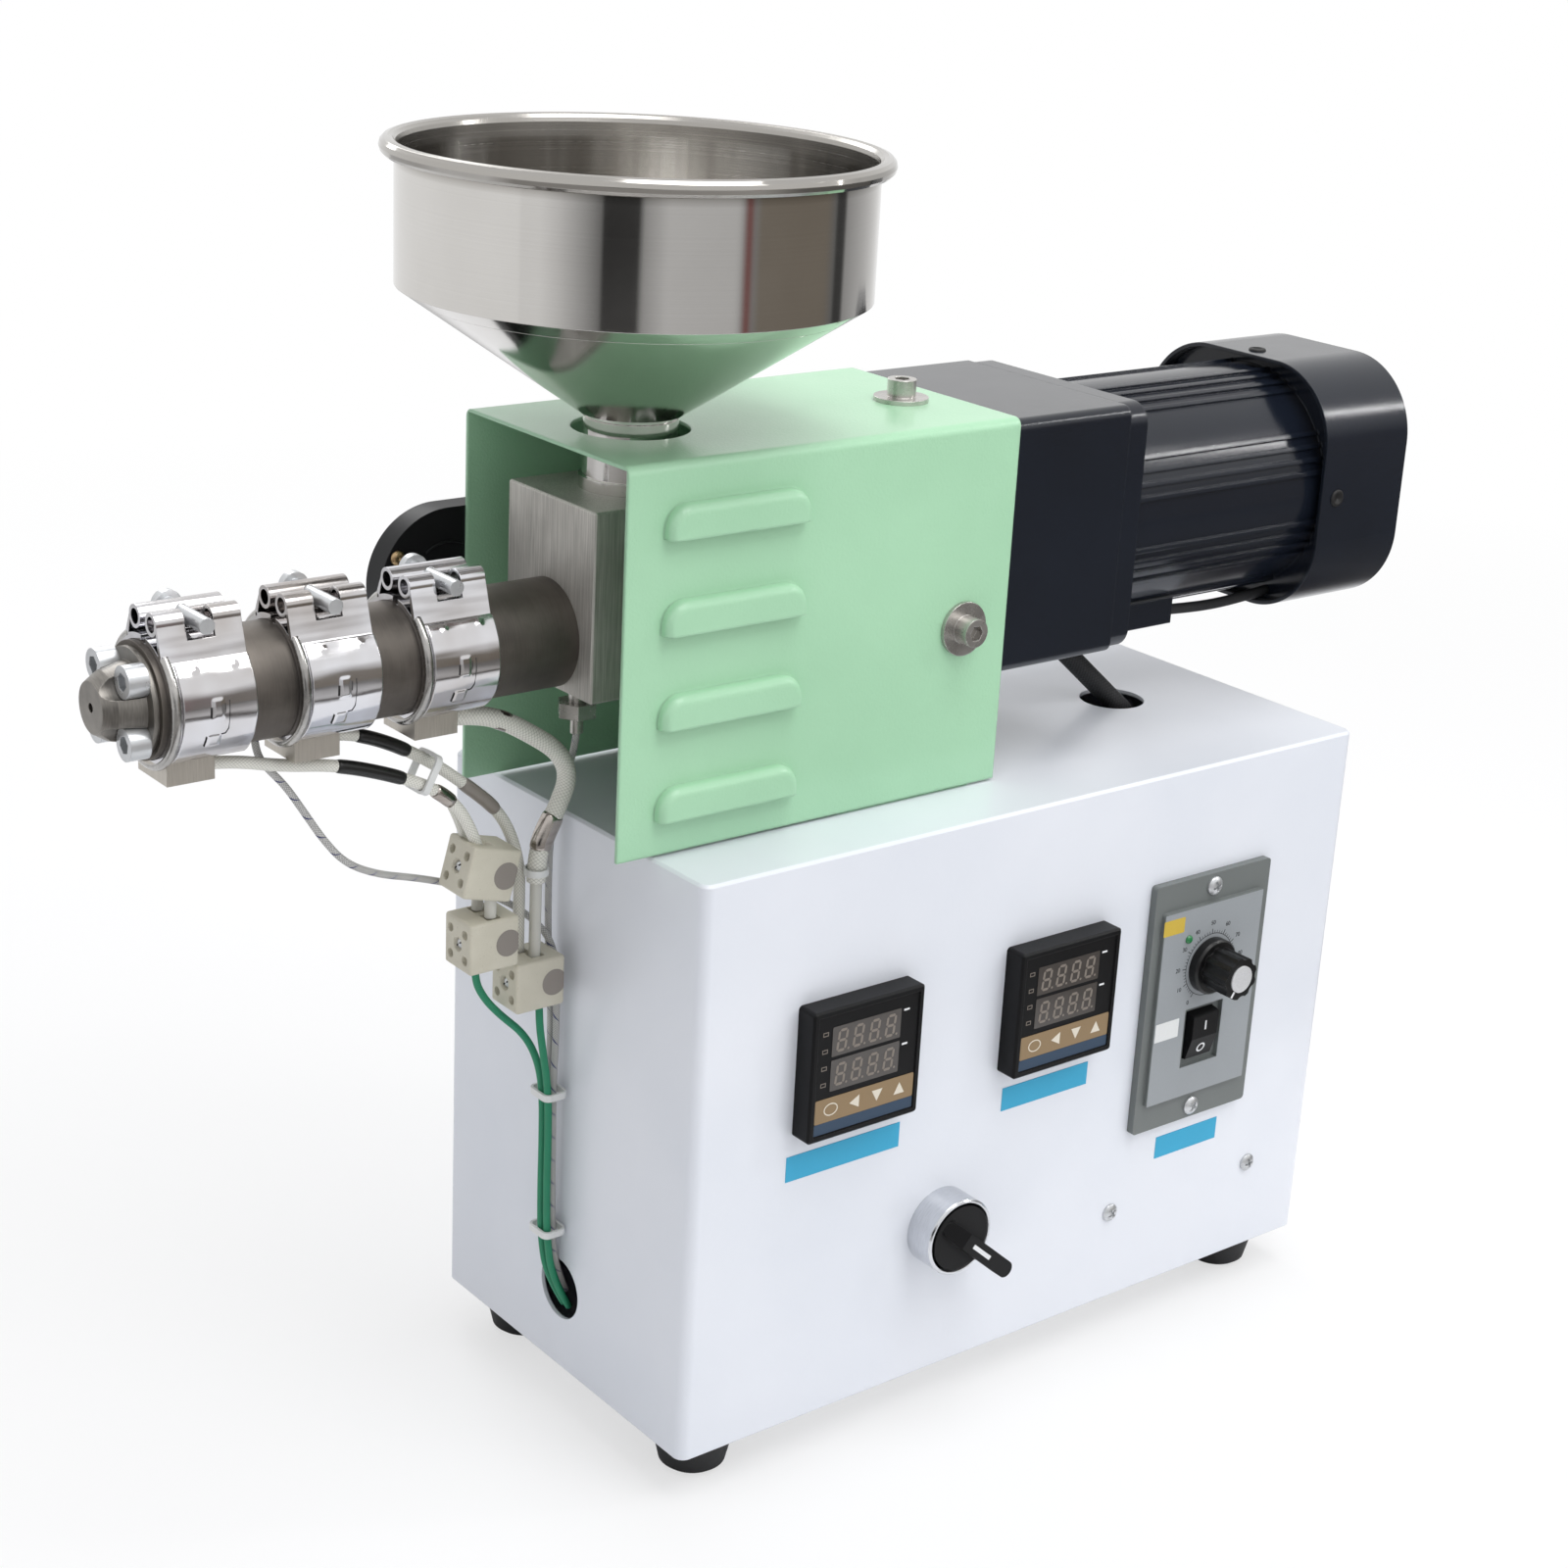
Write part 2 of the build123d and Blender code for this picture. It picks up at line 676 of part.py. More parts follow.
for number, band_left in enumerate(band_lefts, start=1):
    with BuildPart() as heater_band:
        with BuildSketch(facing(0)):
            with BuildLine():
                Polyline((band_left, axis_z + band_outer - bead_rise),
                         (band_left, axis_z + band_outer + bead_rise / 2),
                         (band_left + bead_width / 4, axis_z + band_outer + bead_rise),
                         (band_left + bead_width * 3 / 4, axis_z + band_outer + bead_rise),
                         (band_left + bead_width, axis_z + band_outer),
                         (band_left + bead_width, axis_z + band_outer - bead_rise), close=True)
            make_face()
        revolve(axis=screw_axis)
        with BuildSketch(across(band_left)):
            with Locations((clamp_offset, axis_z)):
                Rectangle(2 * clamp_foot, clamp_rise, align=(Align.CENTER, Align.MIN))
        extrude(amount=bead_width, mode=Mode.SUBTRACT)
        with BuildSketch(across(band_left)):
            with Locations((0, axis_z)):
                Circle(band_outer)
            for side in (-1, 1):
                foot_y = clamp_offset + side * clamp_foot
                foot_z = axis_z + sqrt(band_outer ** 2 - foot_y ** 2)
                tube_y = clamp_offset + side * clamp_half
                Polygon((tube_y, clamp_z), (foot_y, foot_z),
                        (foot_y - side * 2 * clamp_strap, foot_z - clamp_strap),
                        (tube_y - side * clamp_strap, clamp_z), align=None)
            with Locations((clamp_front, clamp_z), (clamp_rear, clamp_z)):
                Circle(clamp_tube_dia / 2)
                Circle(clamp_tube_dia / 2 - clamp_tube_wall, mode=Mode.SUBTRACT)
            with Locations((clamp_offset, axis_z + band_outer)):
                Rectangle(band_split, 2 * band_thickness, mode=Mode.SUBTRACT)
        extrude(amount=band_width)
        with BuildSketch(facing(clamp_offset)):
            with Locations((band_left + band_width / 2, axis_z + band_outer)):
                Rectangle(clamp_notch, clamp_rise, align=(Align.CENTER, Align.MIN))
        extrude(amount=clamp_foot, mode=Mode.SUBTRACT)
        with BuildSketch(facing(clamp_offset)):
            with Locations((band_left + band_width / 2, clamp_z)):
                Circle(clamp_screw_dia / 2 + bolt_gap)
        extrude(amount=-clamp_foot, mode=Mode.SUBTRACT)
        with BuildSketch(across(band_left + band_box_inset)):
            with Locations((0, axis_z)):
                Rectangle(band_box_width, band_box_drop, align=(Align.CENTER, Align.MAX))
        extrude(amount=band_box_length)
        with BuildSketch(across(band_left)):
            with Locations((0, axis_z)):
                Circle(barrel_dia / 2 + seat_gap)
        extrude(amount=band_width, mode=Mode.SUBTRACT)
    save(heater_band.part, f"heater_band_{number}")

# Hopper: one spun profile in radius and height, parted into wall, cone and neck
with BuildPart() as spun_hopper:
    with BuildSketch(Plane(origin=(middle_x + block_x, middle_y, 0), x_dir=(1, 0, 0), z_dir=(0, -1, 0))):
        with BuildLine():
            Polyline((neck_foot_dia / 2, block_top), (neck_foot_dia / 2, block_top + neck_foot_height),
                     (neck_dia / 2, block_top + neck_foot_height), (neck_dia / 2, neck_top),
                     (neck_dia / 2 - neck_groove_depth, neck_top),
                     (neck_dia / 2 - neck_groove_depth, cone_foot_z),
                     (cone_foot_dia / 2, cone_foot_z), (hopper_dia / 2, hopper_cone_top),
                     (hopper_dia / 2, rim_z), (hopper_dia / 2 - hopper_sheet, rim_z),
                     (hopper_dia / 2 - hopper_sheet, hopper_cone_top + cone_lift),
                     (neck_bore / 2, cone_foot_z), (neck_bore / 2, block_top), close=True)
        make_face()
        with Locations((hopper_dia / 2 - hopper_sheet + rim_bead_dia / 2, rim_z)):
            RegularPolygon(rim_bead_dia / 2, rim_bead_sides)
    revolve(axis=hopper_axis)

with BuildPart() as hopper_wall:
    add(spun_hopper.part)
    split(bisect_by=level(hopper_split_z), keep=Keep.TOP)
save(hopper_wall.part, "hopper_wall")

with BuildPart() as hopper_cone:
    add(spun_hopper.part)
    split(bisect_by=level(hopper_split_z), keep=Keep.BOTTOM)
    split(bisect_by=level(neck_top), keep=Keep.TOP)
save(hopper_cone.part, "hopper_cone")

with BuildPart() as hopper_neck:
    add(spun_hopper.part)
    split(bisect_by=level(neck_top), keep=Keep.BOTTOM)
save(hopper_neck.part, "hopper_neck")

# Gear head and motor
with BuildPart() as gear_head:
    with BuildSketch(across(gear_left)):
        with Locations((0, gear_z)):
            RectangleRounded(gear_size, gear_size, gear_edge)
    extrude(amount=gear_length)
save(gear_head.part, "gear_head")

with BuildPart() as motor_end_flange:
    with BuildSketch(across(gear_right)):
        with Locations((0, gear_z)):
            RectangleRounded(gear_size, gear_size, motor_flange_corner)
    extrude(amount=motor_flange)
save(motor_end_flange.part, "motor_end_flange")

with BuildPart() as motor_body:
    with BuildSketch(across(flange_right)):
        with Locations((0, gear_z)):
            Circle(motor_core)
            for group in range(rib_groups):
                first_rib = (group + 0.5) * 360 / rib_groups - (rib_count - 1) * rib_step / 2
                with PolarLocations(motor_core - rib_bite, rib_count, start_angle=first_rib,
                                    angular_range=rib_count * rib_step):
                    Rectangle(rib_bite + rib_height, rib_width, align=(Align.MIN, Align.CENTER))
    extrude(amount=motor_length)
    with BuildSketch(across(motor_right)):
        with Locations((0, gear_z)):
            RectangleRounded(cover_inner - 2 * seat_gap, cover_inner - 2 * seat_gap,
                             cover_corner - cover_sheet - seat_gap)
    extrude(amount=-end_bracket)
save(motor_body.part, "motor_body")

with BuildPart() as motor_fan:
    with BuildSketch(across(motor_right)):
        with Locations((0, gear_z)):
            Circle(fan_shaft_dia / 2)
    extrude(amount=fan_gap)
    with BuildSketch(across(motor_right + fan_gap)):
        with Locations((0, gear_z)):
            Circle(fan_dia / 2)
    extrude(amount=fan_disc)
    with BuildSketch(across(motor_right + fan_gap)):
        with Locations((0, gear_z)):
            Circle(fan_hub_dia / 2)
            with PolarLocations(fan_hub_dia / 4, fan_blade_count):
                Rectangle(fan_dia / 2 - fan_hub_dia / 4, fan_blade_width, align=(Align.MIN, Align.CENTER))
    extrude(amount=fan_disc + fan_blade_height)
save(motor_fan.part, "motor_fan")

with BuildPart() as fan_cover:
    with BuildSketch(across(cover_left)):
        with Locations((0, gear_z)):
            RectangleRounded(cover_size, cover_size, cover_corner)
    extrude(amount=cover_length)
    chamfer(fan_cover.faces().sort_by(Axis.X)[-1].edges(), cover_sheet)
    with BuildSketch(across(cover_left)):
        with Locations((0, gear_z)):
            RectangleRounded(cover_inner, cover_inner, cover_corner - cover_sheet)
    extrude(amount=cover_length - cover_sheet, mode=Mode.SUBTRACT)
    with BuildSketch(across(cover_right)):
        with Locations((0, gear_z)):
            with GridLocations(0, slot_pitch, 1, slot_count):
                Rectangle(2 * slot_reach, slot_height)
    extrude(amount=-cover_sheet, mode=Mode.SUBTRACT)
save(fan_cover.part, "fan_cover")

with BuildPart() as terminal_box:
    with BuildSketch(across(flange_right)):
        with Locations((0, gear_z)):
            Rectangle(terminal_box_width, motor_dia / 2 + terminal_box_cover, align=(Align.CENTER, Align.MAX))
            Circle(motor_dia / 2 + seat_gap, mode=Mode.SUBTRACT)
    extrude(amount=terminal_box_length)
save(terminal_box.part, "terminal_box")

# Radial blower on the outside of the guard's back wall: air in at the back, out towards +X
with BuildPart() as cooling_blower:
    with BuildSketch(facing(guard_half)):
        with Locations((blower_x, blower_z)):
            Circle(blower_dia / 2)
        with Locations((blower_x, blower_z + blower_dia / 2)):
            Rectangle(blower_reach, blower_outlet, align=(Align.MIN, Align.MAX))
    extrude(amount=-blower_thickness)
    with BuildSketch(across(blower_x + blower_reach)):
        with Locations((guard_half + blower_thickness / 2, blower_z + (blower_dia - blower_outlet) / 2)):
            Rectangle(blower_thickness - 2 * blower_wall, blower_outlet - 2 * blower_wall)
    extrude(amount=-blower_outlet_depth, mode=Mode.SUBTRACT)
    with BuildSketch(facing(guard_half + blower_thickness)):
        with Locations((blower_x, blower_z)):
            Circle(blower_inlet_dia / 2)
    extrude(amount=blower_inlet_depth, mode=Mode.SUBTRACT)
save(cooling_blower.part, "cooling_blower")

with BuildPart() as blower_impeller:
    with BuildSketch(facing(impeller_back)):
        with Locations((blower_x, blower_z)):
            Circle(impeller_dia / 2)
    extrude(amount=-impeller_base)
    with BuildSketch(facing(impeller_back)):
        with Locations((blower_x, blower_z)):
            Circle(impeller_hub_dia / 2)
            with PolarLocations(impeller_dia / 2 - impeller_vane_length, impeller_vanes):
                Rectangle(impeller_vane_length, impeller_vane_width, align=(Align.MIN, Align.CENTER))
    extrude(amount=-impeller_height)
save(blower_impeller.part, "blower_impeller")

# Temperature controllers
for number, inset in enumerate(meter_insets, start=1):
    with BuildPart() as meter:
        with BuildSketch(facing(front)):
            with Locations((left_end + inset, meter_z)):
                RectangleRounded(meter_size, meter_size, meter_corner)
        extrude(amount=meter_depth)
        chamfer(meter.faces().sort_by(Axis.Y)[0].edges(), meter_corner / 2)
        with BuildSketch(facing(front - meter_depth)):
            with Locations((left_end + inset, meter_z)):
                Rectangle(meter_size - 2 * meter_rim, meter_size - 2 * meter_rim)
        extrude(amount=-meter_window_depth, mode=Mode.SUBTRACT)
        with BuildSketch(facing(front)):
            with Locations((left_end + inset, meter_z)):
                Rectangle(meter_neck, meter_neck)
        extrude(amount=-meter_body_depth)
    save(meter.part, f"temperature_controller_{number}")

# Speed controller with its knob and rocker
with BuildPart() as speed_controller:
    with BuildSketch(facing(front)):
        with Locations((controller_x, controller_z)):
            RectangleRounded(controller_width, controller_length, controller_corner)
    extrude(amount=controller_plate)
    with BuildSketch(facing(front - controller_plate)):
        with Locations((controller_x, controller_z)):
            RectangleRounded(controller_width - 2 * controller_side, controller_panel_length,
                             controller_corner)
    extrude(amount=controller_panel_rise)
    with BuildSketch(facing(front)):
        with Locations((controller_x, controller_z)):
            Rectangle(controller_body_width, controller_body_length)
    extrude(amount=-controller_body_depth)
    with BuildSketch(facing(controller_face)):
        with Locations((controller_x, rocker_z)):
            Rectangle(rocker_window_width, rocker_window_length)
    extrude(amount=-rocker_recess, mode=Mode.SUBTRACT)
    with BuildSketch(facing(rocker_pivot + rocker_length / 2 + slip_gap)):
        with Locations((controller_x, rocker_z)):
            Rectangle(rocker_width + 2 * slip_gap, rocker_length + 2 * slip_gap)
    extrude(amount=rocker_length / 2 + slip_gap + rocker_crown, mode=Mode.SUBTRACT)
    with BuildSketch(facing(controller_face)):
        with Locations((controller_x, knob_z)):
            Circle(knob_shaft_dia / 2 + running_gap)
    extrude(amount=-knob_shaft_length - slip_gap, mode=Mode.SUBTRACT)
save(speed_controller.part, "speed_controller")

with BuildPart() as speed_knob:
    with BuildSketch(facing(knob_back)):
        with Locations((controller_x, knob_z)):
            Circle(knob_skirt_dia / 2)
    extrude(amount=knob_skirt_height)
    chamfer(speed_knob.faces().sort_by(Axis.Y)[0].edges(), knob_skirt_chamfer)
    with BuildSketch(facing(knob_back)):
        with Locations((controller_x, knob_z)):
            Circle(knob_dia / 2)
            with PolarLocations((knob_dia + knob_flute_dia) / 2 - knob_flute_depth, knob_flutes):
                Circle(knob_flute_dia / 2, mode=Mode.SUBTRACT)
    extrude(amount=knob_height)
    with BuildSketch(facing(knob_back)):
        with Locations((controller_x, knob_z)):
            Circle(knob_shaft_dia / 2)
    extrude(amount=-knob_shaft_length)
save(speed_knob.part, "speed_knob")

with BuildPart() as knob_cap:
    with BuildSketch(facing(knob_back - knob_height)):
        with Locations((controller_x, knob_z)):
            Circle(knob_cap_dia / 2)
    extrude(amount=knob_cap_sheet)
save(knob_cap.part, "knob_cap")

with BuildPart() as rocker_switch:
    with BuildSketch(across(controller_x - rocker_width / 2)):
        with Locations(Location((rocker_pivot, rocker_z, 0), (0, 0, rocker_tilt))):
            Circle(rocker_length / 2)
            Polygon((-rocker_crown, 0), (rocker_shoulder - rocker_crown, rocker_length / 2),
                    (rocker_length / 2, rocker_length / 2), (rocker_length / 2, -rocker_length / 2),
                    (rocker_shoulder - rocker_crown, -rocker_length / 2),
                    align=None, mode=Mode.INTERSECT)
    extrude(amount=rocker_width)
save(rocker_switch.part, "rocker_switch")

# Selector switch: the lever and its round face turn together in the ring
with BuildPart() as selector_ring:
    with BuildSketch(facing(front)):
        with Locations((selector_x, selector_z)):
            Circle(selector_ring_dia / 2)
            Circle(selector_face_dia / 2 + running_gap, mode=Mode.SUBTRACT)
    extrude(amount=selector_ring_depth)
    chamfer(selector_ring.edges().group_by(Axis.Y)[0], selector_ring_chamfer)
    with BuildSketch(facing(front)):
        with Locations((selector_x, selector_z)):
            Circle(selector_barrel_dia / 2)
    extrude(amount=-selector_barrel_depth)
    with BuildSketch(facing(front)):
        with Locations((selector_x, selector_z)):
            Circle(selector_shaft_dia / 2 + running_gap)
    extrude(amount=-selector_shaft_length, mode=Mode.SUBTRACT)
save(selector_ring.part, "selector_ring")

lever_plane = Plane(origin=(middle_x + selector_x, middle_y + selector_front - slip_gap, selector_z),
                    x_dir=(cos(radians(lever_angle)), 0, sin(radians(lever_angle))), z_dir=(0, -1, 0))
with BuildPart() as selector_lever:
    with BuildSketch(lever_plane):
        with Locations(((lever_reach - lever_ridge) / 2, 0)):
            SlotOverall(lever_reach + lever_ridge, lever_width)
    extrude(amount=lever_rise)
    with BuildSketch(Plane(origin=lever_plane.origin, x_dir=lever_plane.x_dir, z_dir=lever_plane.y_dir)):
        Polygon((-lever_ridge, 0), (-lever_crest, -lever_rise), (-lever_ridge, -lever_rise), align=None)
    extrude(amount=lever_width, both=True, mode=Mode.SUBTRACT)
    with BuildSketch(facing(front - slip_gap)):
        with Locations((selector_x, selector_z)):
            Circle(selector_face_dia / 2)
    extrude(amount=selector_ring_depth)
    with BuildSketch(facing(front - slip_gap)):
        with Locations((selector_x, selector_z)):
            Circle(selector_shaft_dia / 2)
    extrude(amount=slip_gap - selector_shaft_length)
save(selector_lever.part, "selector_lever")

with BuildPart() as panel_screws:
    with BuildSketch(facing(front)):
        with Locations(*panel_screw_places):
            Circle(panel_screw_dia / 2)
    extrude(amount=panel_screw_head)
    chamfer(panel_screws.faces().group_by(Axis.Y)[0].edges(), panel_screw_head / 3)
    with BuildSketch(facing(front)):
        with Locations(*panel_screw_places):
            Circle(panel_screw_shank / 2)
    extrude(amount=-panel_screw_length)
save(panel_screws.part, "panel_screws")

# Ceramic terminal blocks that hang on the leads left of the cabinet
with BuildPart() as ceramic_terminals:
    for terminal, lean in ((upper_terminal, terminal_lean), (lower_terminal, 0), (rear_terminal, 0)):
        with BuildSketch(facing(-terminal_depth / 2)):
            with Locations(Location((terminal[0], terminal[1], 0), (0, 0, -lean))):
                RectangleRounded(terminal_width, terminal_height, terminal_corner)
        extrude(amount=-terminal_depth)
save(ceramic_terminals.part, "ceramic_terminals")


def cord(route, size, name):
    """A round cord along a route, each corner as round as its two runs allow."""
    points = [Vector(middle_x + x, middle_y + y, z) for x, y, z in route]
    radii = []
    for before, corner, after in zip(points, points[1:], points[2:]):
        turn = (corner - before).get_angle(after - corner)
        run = min((corner - before).length, (after - corner).length)
        radii.append(corner_share * run / tan(radians(turn / 2)))
    with BuildPart() as lead:
        with BuildLine() as path:
            FilletPolyline(*points, radius=radii)
        wire = path.wires()[0]
        with BuildSketch(Plane(origin=wire @ 0, z_dir=wire % 0)):
            Circle(size / 2)
        sweep(path=wire)
    share = lead.part.volume / (pi * size ** 2 / 4 * wire.length)
    print(name, "length", round(wire.length, 2), "volume share", round(share, 4),
          "radii", [round(radius, 1) for radius in radii])
    save(lead.part, name)


# Heater leads, from the terminal box of each band
cord([(first_box, -2, lead_z), (first_box + 10, -2, lead_z - 1), (first_box + 25.8, -2, lead_z - 5.5),
      (first_box + 44.8, -2, lead_z - 8.5), (left_end - 71, -2, axis_z - 37.5),
      (left_end - 54, -2, axis_z - 45.5), (left_end - 42.5, -2, axis_z - 56.5),
      (upper_terminal[0] - 2.4, -2, upper_terminal[1] + terminal_height / 2 - lead_bite)],
     heater_lead_dia, "heater_lead_1")
cord([(second_box, 3, lead_z), (second_box + 9, 3, lead_z - 0.5), (second_box + 23.8, 3, lead_z - 6),
      (left_end - 53, 3, axis_z - 38), (left_end - 39, 3.2, axis_z - 49), (left_end - 25, 3.6, axis_z - 61.5),
      (left_end - 17.5, 4.2, axis_z - 79.5), (left_end - 17.5, 4.2, axis_z - 96.5),
      (left_end - 18, 3.4, rear_terminal_top - lead_bite)],
     heater_lead_dia, "heater_lead_2")
cord([(third_box, 0, lead_z), (third_box + 8, 0, lead_z - 0.5), (third_box + 20, -0.5, lead_z - 3.3),
      (left_end - 20, -1, axis_z - 32), (left_end - 7, -2, axis_z - 41), (left_end - 2.8, -2, axis_z - 50.5),
      (left_end - 7, -2, axis_z - 60.5), (left_end - 12.8, -2, axis_z - 70.5),
      (left_end - 14.8, -2, axis_z - 78), (left_end - 15, -2, axis_z - 85.5)],
     sleeve_lead_dia, "heater_lead_3")

# Probe leads, down to the wire hole in the end of the cabinet
cord([(band_lefts[1] - 4.9, 2, axis_z - barrel_dia / 2 + lead_bite),
      (band_lefts[1] - 4.4, 2, axis_z - 23), (band_lefts[1] - 1.5, 2, axis_z - 28.5),
      (band_lefts[1] + 6, 3, axis_z - 36.5), (band_lefts[1] + 13, 4, axis_z - 47),
      (band_lefts[1] + 20.5, 5, axis_z - 58.5), (band_lefts[1] + 29, 6, axis_z - 68.5),
      (left_end - 69, 8, axis_z - 75.5), (left_end - 54, 10.5, axis_z - 80.5),
      (left_end - 39, 11, axis_z - 86), (left_end - 25, 11, axis_z - 92.5),
      (left_end - 12, 9.5, axis_z - 101), (left_end - 4, 3.5, axis_z - 111),
      (left_end - 3.3, 1.6, axis_z - 126), (left_end - 3.2, 1.2, axis_z - 144),
      (left_end - 4, 1.2, axis_z - 166), (left_end - 3.5, 1.2, axis_z - 190),
      (left_end - 3.2, 1.2, wire_hole_z + 30), (left_end - 2.2, 1.2, wire_hole_z + 11),
      (left_end + 3.5, 1.2, wire_hole_z - 2.5)],
     probe_lead_dia, "barrel_probe_lead")
cord([(probe_x, 0, probe_foot), (probe_x, 1, axis_z - 43.5), (probe_x - 1.5, 4, axis_z - 53),
      (left_end - 3.5, 6, axis_z - 65), (left_end - 4, 7, axis_z - 81), (left_end - 3.8, 7.2, axis_z - 97),
      (left_end - 3.6, 7, axis_z - 113), (left_end - 3.3, 5.5, axis_z - 130),
      (left_end - 3.2, 4.6, axis_z - 146), (left_end - 4, 4.2, axis_z - 166),
      (left_end - 3.5, 4.2, axis_z - 190), (left_end - 3.2, 4.2, wire_hole_z + 30),
      (left_end - 2.2, 4.2, wire_hole_z + 11), (left_end + 3.5, 4.2, wire_hole_z - 2.5)],
     probe_lead_dia, "block_probe_lead")

# Supply leads, from the lower terminals to the wire hole
cord([(left_end - 37, 0, lower_terminal_foot + lead_bite), (left_end - 37, 0.5, axis_z - 117),
      (left_end - 32.5, 1.5, axis_z - 125.5), (left_end - 25, 2.5, axis_z - 134),
      (left_end - 15.5, 3, axis_z - 143), (left_end - 10, 2.5, axis_z - 153.5),
      (left_end - 7.9, 1.8, axis_z - 166), (left_end - 7.6, 1.8, axis_z - 187),
      (left_end - 7.7, 1.8, axis_z - 207), (left_end - 7.2, 1.8, wire_hole_z + 22),
      (left_end - 4.5, 1.5, wire_hole_z + 6), (left_end + 3, 1.5, wire_hole_z - 7.5)],
     supply_lead_dia, "supply_lead_1")
cord([(left_end - 13, -2.5, rear_terminal_foot + lead_bite), (left_end - 13, -2.6, rear_terminal_foot - 7),
      (left_end - 11, -2.5, axis_z - 149), (left_end - 8.2, -2, axis_z - 164),
      (left_end - 7.6, -1.8, axis_z - 182), (left_end - 7.7, -1.8, axis_z - 202),
      (left_end - 7.2, -1.8, wire_hole_z + 24), (left_end - 4.5, -1.8, wire_hole_z + 6),
      (left_end + 3, -1.8, wire_hole_z - 7.5)],
     supply_lead_dia, "supply_lead_2")

# Motor side
cord([(box_end, -20, gear_z - 42.6), (box_end + 13.5, -20.3, gear_z - 43.6),
      (box_end + 28.5, -20.5, gear_z - 44.1), (bracket_face - 14, -20.3, gear_z - 43.6),
      (bracket_face, -20, gear_z - 42.6)],
     fan_lead_dia, "fan_lead")

motor_lead_start = Vector(middle_x + cable_hole_x - 37, middle_y + 15,
                          gear_z - motor_dia / 2 - terminal_box_cover)
motor_lead_end = Vector(middle_x + cable_hole_x + 4, middle_y - 3, deck - 5)
motor_lead_run = motor_lead_end - motor_lead_start
with BuildPart() as motor_lead:
    with BuildSketch(Plane(origin=motor_lead_start, z_dir=motor_lead_run)):
        Circle(motor_lead_dia / 2)
    extrude(amount=motor_lead_run.length)
save(motor_lead.part, "motor_lead")

# Short straight leads: two between the upper and lower terminals, one below the sleeved heater lead
with BuildPart() as lead_links:
    with BuildSketch(level(lower_terminal_top)):
        with Locations((lower_terminal[0] + 0.5, -link_spread), (lower_terminal[0] + 0.5, link_spread)):
            Circle(heater_lead_dia / 2)
    extrude(amount=upper_terminal[1] - terminal_height / 2 - lower_terminal_top)
    with BuildSketch(level(rear_terminal_top - lead_bite)):
        with Locations((left_end - 15, -2)):
            Circle(heater_lead_dia / 2)
    extrude(amount=axis_z - 85.5 - rear_terminal_top + lead_bite)
save(lead_links.part, "lead_links")

# Cable ties: one round two heater leads, one on the sleeved lead, two round the bundle
heater_tie = Plane(origin=(middle_x + left_end - 57, middle_y + 0.5, axis_z - 40), x_dir=(0, 1, 0),
                   z_dir=(2, 0, -1))
with BuildPart() as lead_ties:
    with BuildSketch(heater_tie):
        RectangleRounded(pair_room_width + 2 * tie_wall, pair_room_height + 2 * tie_wall,
                         tie_corner + tie_wall)
        RectangleRounded(pair_room_width, pair_room_height, tie_corner, mode=Mode.SUBTRACT)
    extrude(amount=tie_width / 2, both=True)
    with BuildSketch(level(axis_z - 83)):
        with Locations((left_end - 15, -2)):
            Circle(sleeve_lead_dia / 2 + tie_wall)
            Circle(sleeve_lead_dia / 2 + slip_gap, mode=Mode.SUBTRACT)
    extrude(amount=tie_width)
    for tie_x, tie_y, tie_z in ((left_end - 5.9, 1.2, axis_z - 168), (left_end - 5.1, 1.2, wire_hole_z + 24)):
        with BuildSketch(level(tie_z)):
            with Locations((tie_x, tie_y)):
                RectangleRounded(bundle_room_width + 2 * tie_wall, bundle_room_depth + 2 * tie_wall,
                                 tie_corner + tie_wall)
                RectangleRounded(bundle_room_width, bundle_room_depth, tie_corner, mode=Mode.SUBTRACT)
        extrude(amount=tie_width)
save(lead_ties.part, "lead_ties")
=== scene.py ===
"""Looks of the benchtop single screw extruder: the finishes of its solids, its leads, and the small
pieces that the solids leave out. Lengths are metres in the frame of the solids, unless a name, a
comment or a docstring says millimetres."""

import math

import bpy
import numpy as np
from mathutils import Matrix


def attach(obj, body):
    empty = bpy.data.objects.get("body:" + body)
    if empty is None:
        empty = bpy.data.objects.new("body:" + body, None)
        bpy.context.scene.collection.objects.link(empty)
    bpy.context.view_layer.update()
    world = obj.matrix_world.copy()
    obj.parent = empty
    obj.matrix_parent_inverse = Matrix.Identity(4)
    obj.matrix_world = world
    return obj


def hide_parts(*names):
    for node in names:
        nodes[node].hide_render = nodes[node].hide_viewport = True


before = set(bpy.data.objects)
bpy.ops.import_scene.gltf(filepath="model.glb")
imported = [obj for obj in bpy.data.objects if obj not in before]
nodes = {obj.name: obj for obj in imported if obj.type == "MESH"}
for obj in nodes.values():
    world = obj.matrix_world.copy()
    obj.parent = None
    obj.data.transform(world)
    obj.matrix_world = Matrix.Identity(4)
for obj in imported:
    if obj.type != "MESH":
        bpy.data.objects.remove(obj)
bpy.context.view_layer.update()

# ---------------------------------------------------------------- frame of the drawing

CABINET_MIDDLE = np.array([0.062, 0.008025, 0.0])
MM = 0.001
MICRON = 0.000001

# Millimetres from the middle of the cabinet and the floor: depths of faces, middles as x and z,
# and the rocker's pivot as x, y and z
PANEL = -75.0
METER_GLASS = -83.0
METER_MIDDLES = ((-88.0, 153.5), (4.5, 153.5))
DRIVE_PLATE = -78.0
DRIVE_FACE = -79.6
KNOB = (80.5, 150.0)
SELECTOR = (-42.0, 75.5)
ROCKER = (80.5, -77.3, 121.5)
AXIS_Z = 293.5
HOPPER_X = -134.0
# The way the panel faces
OUTWARD = (0, -1, 0)


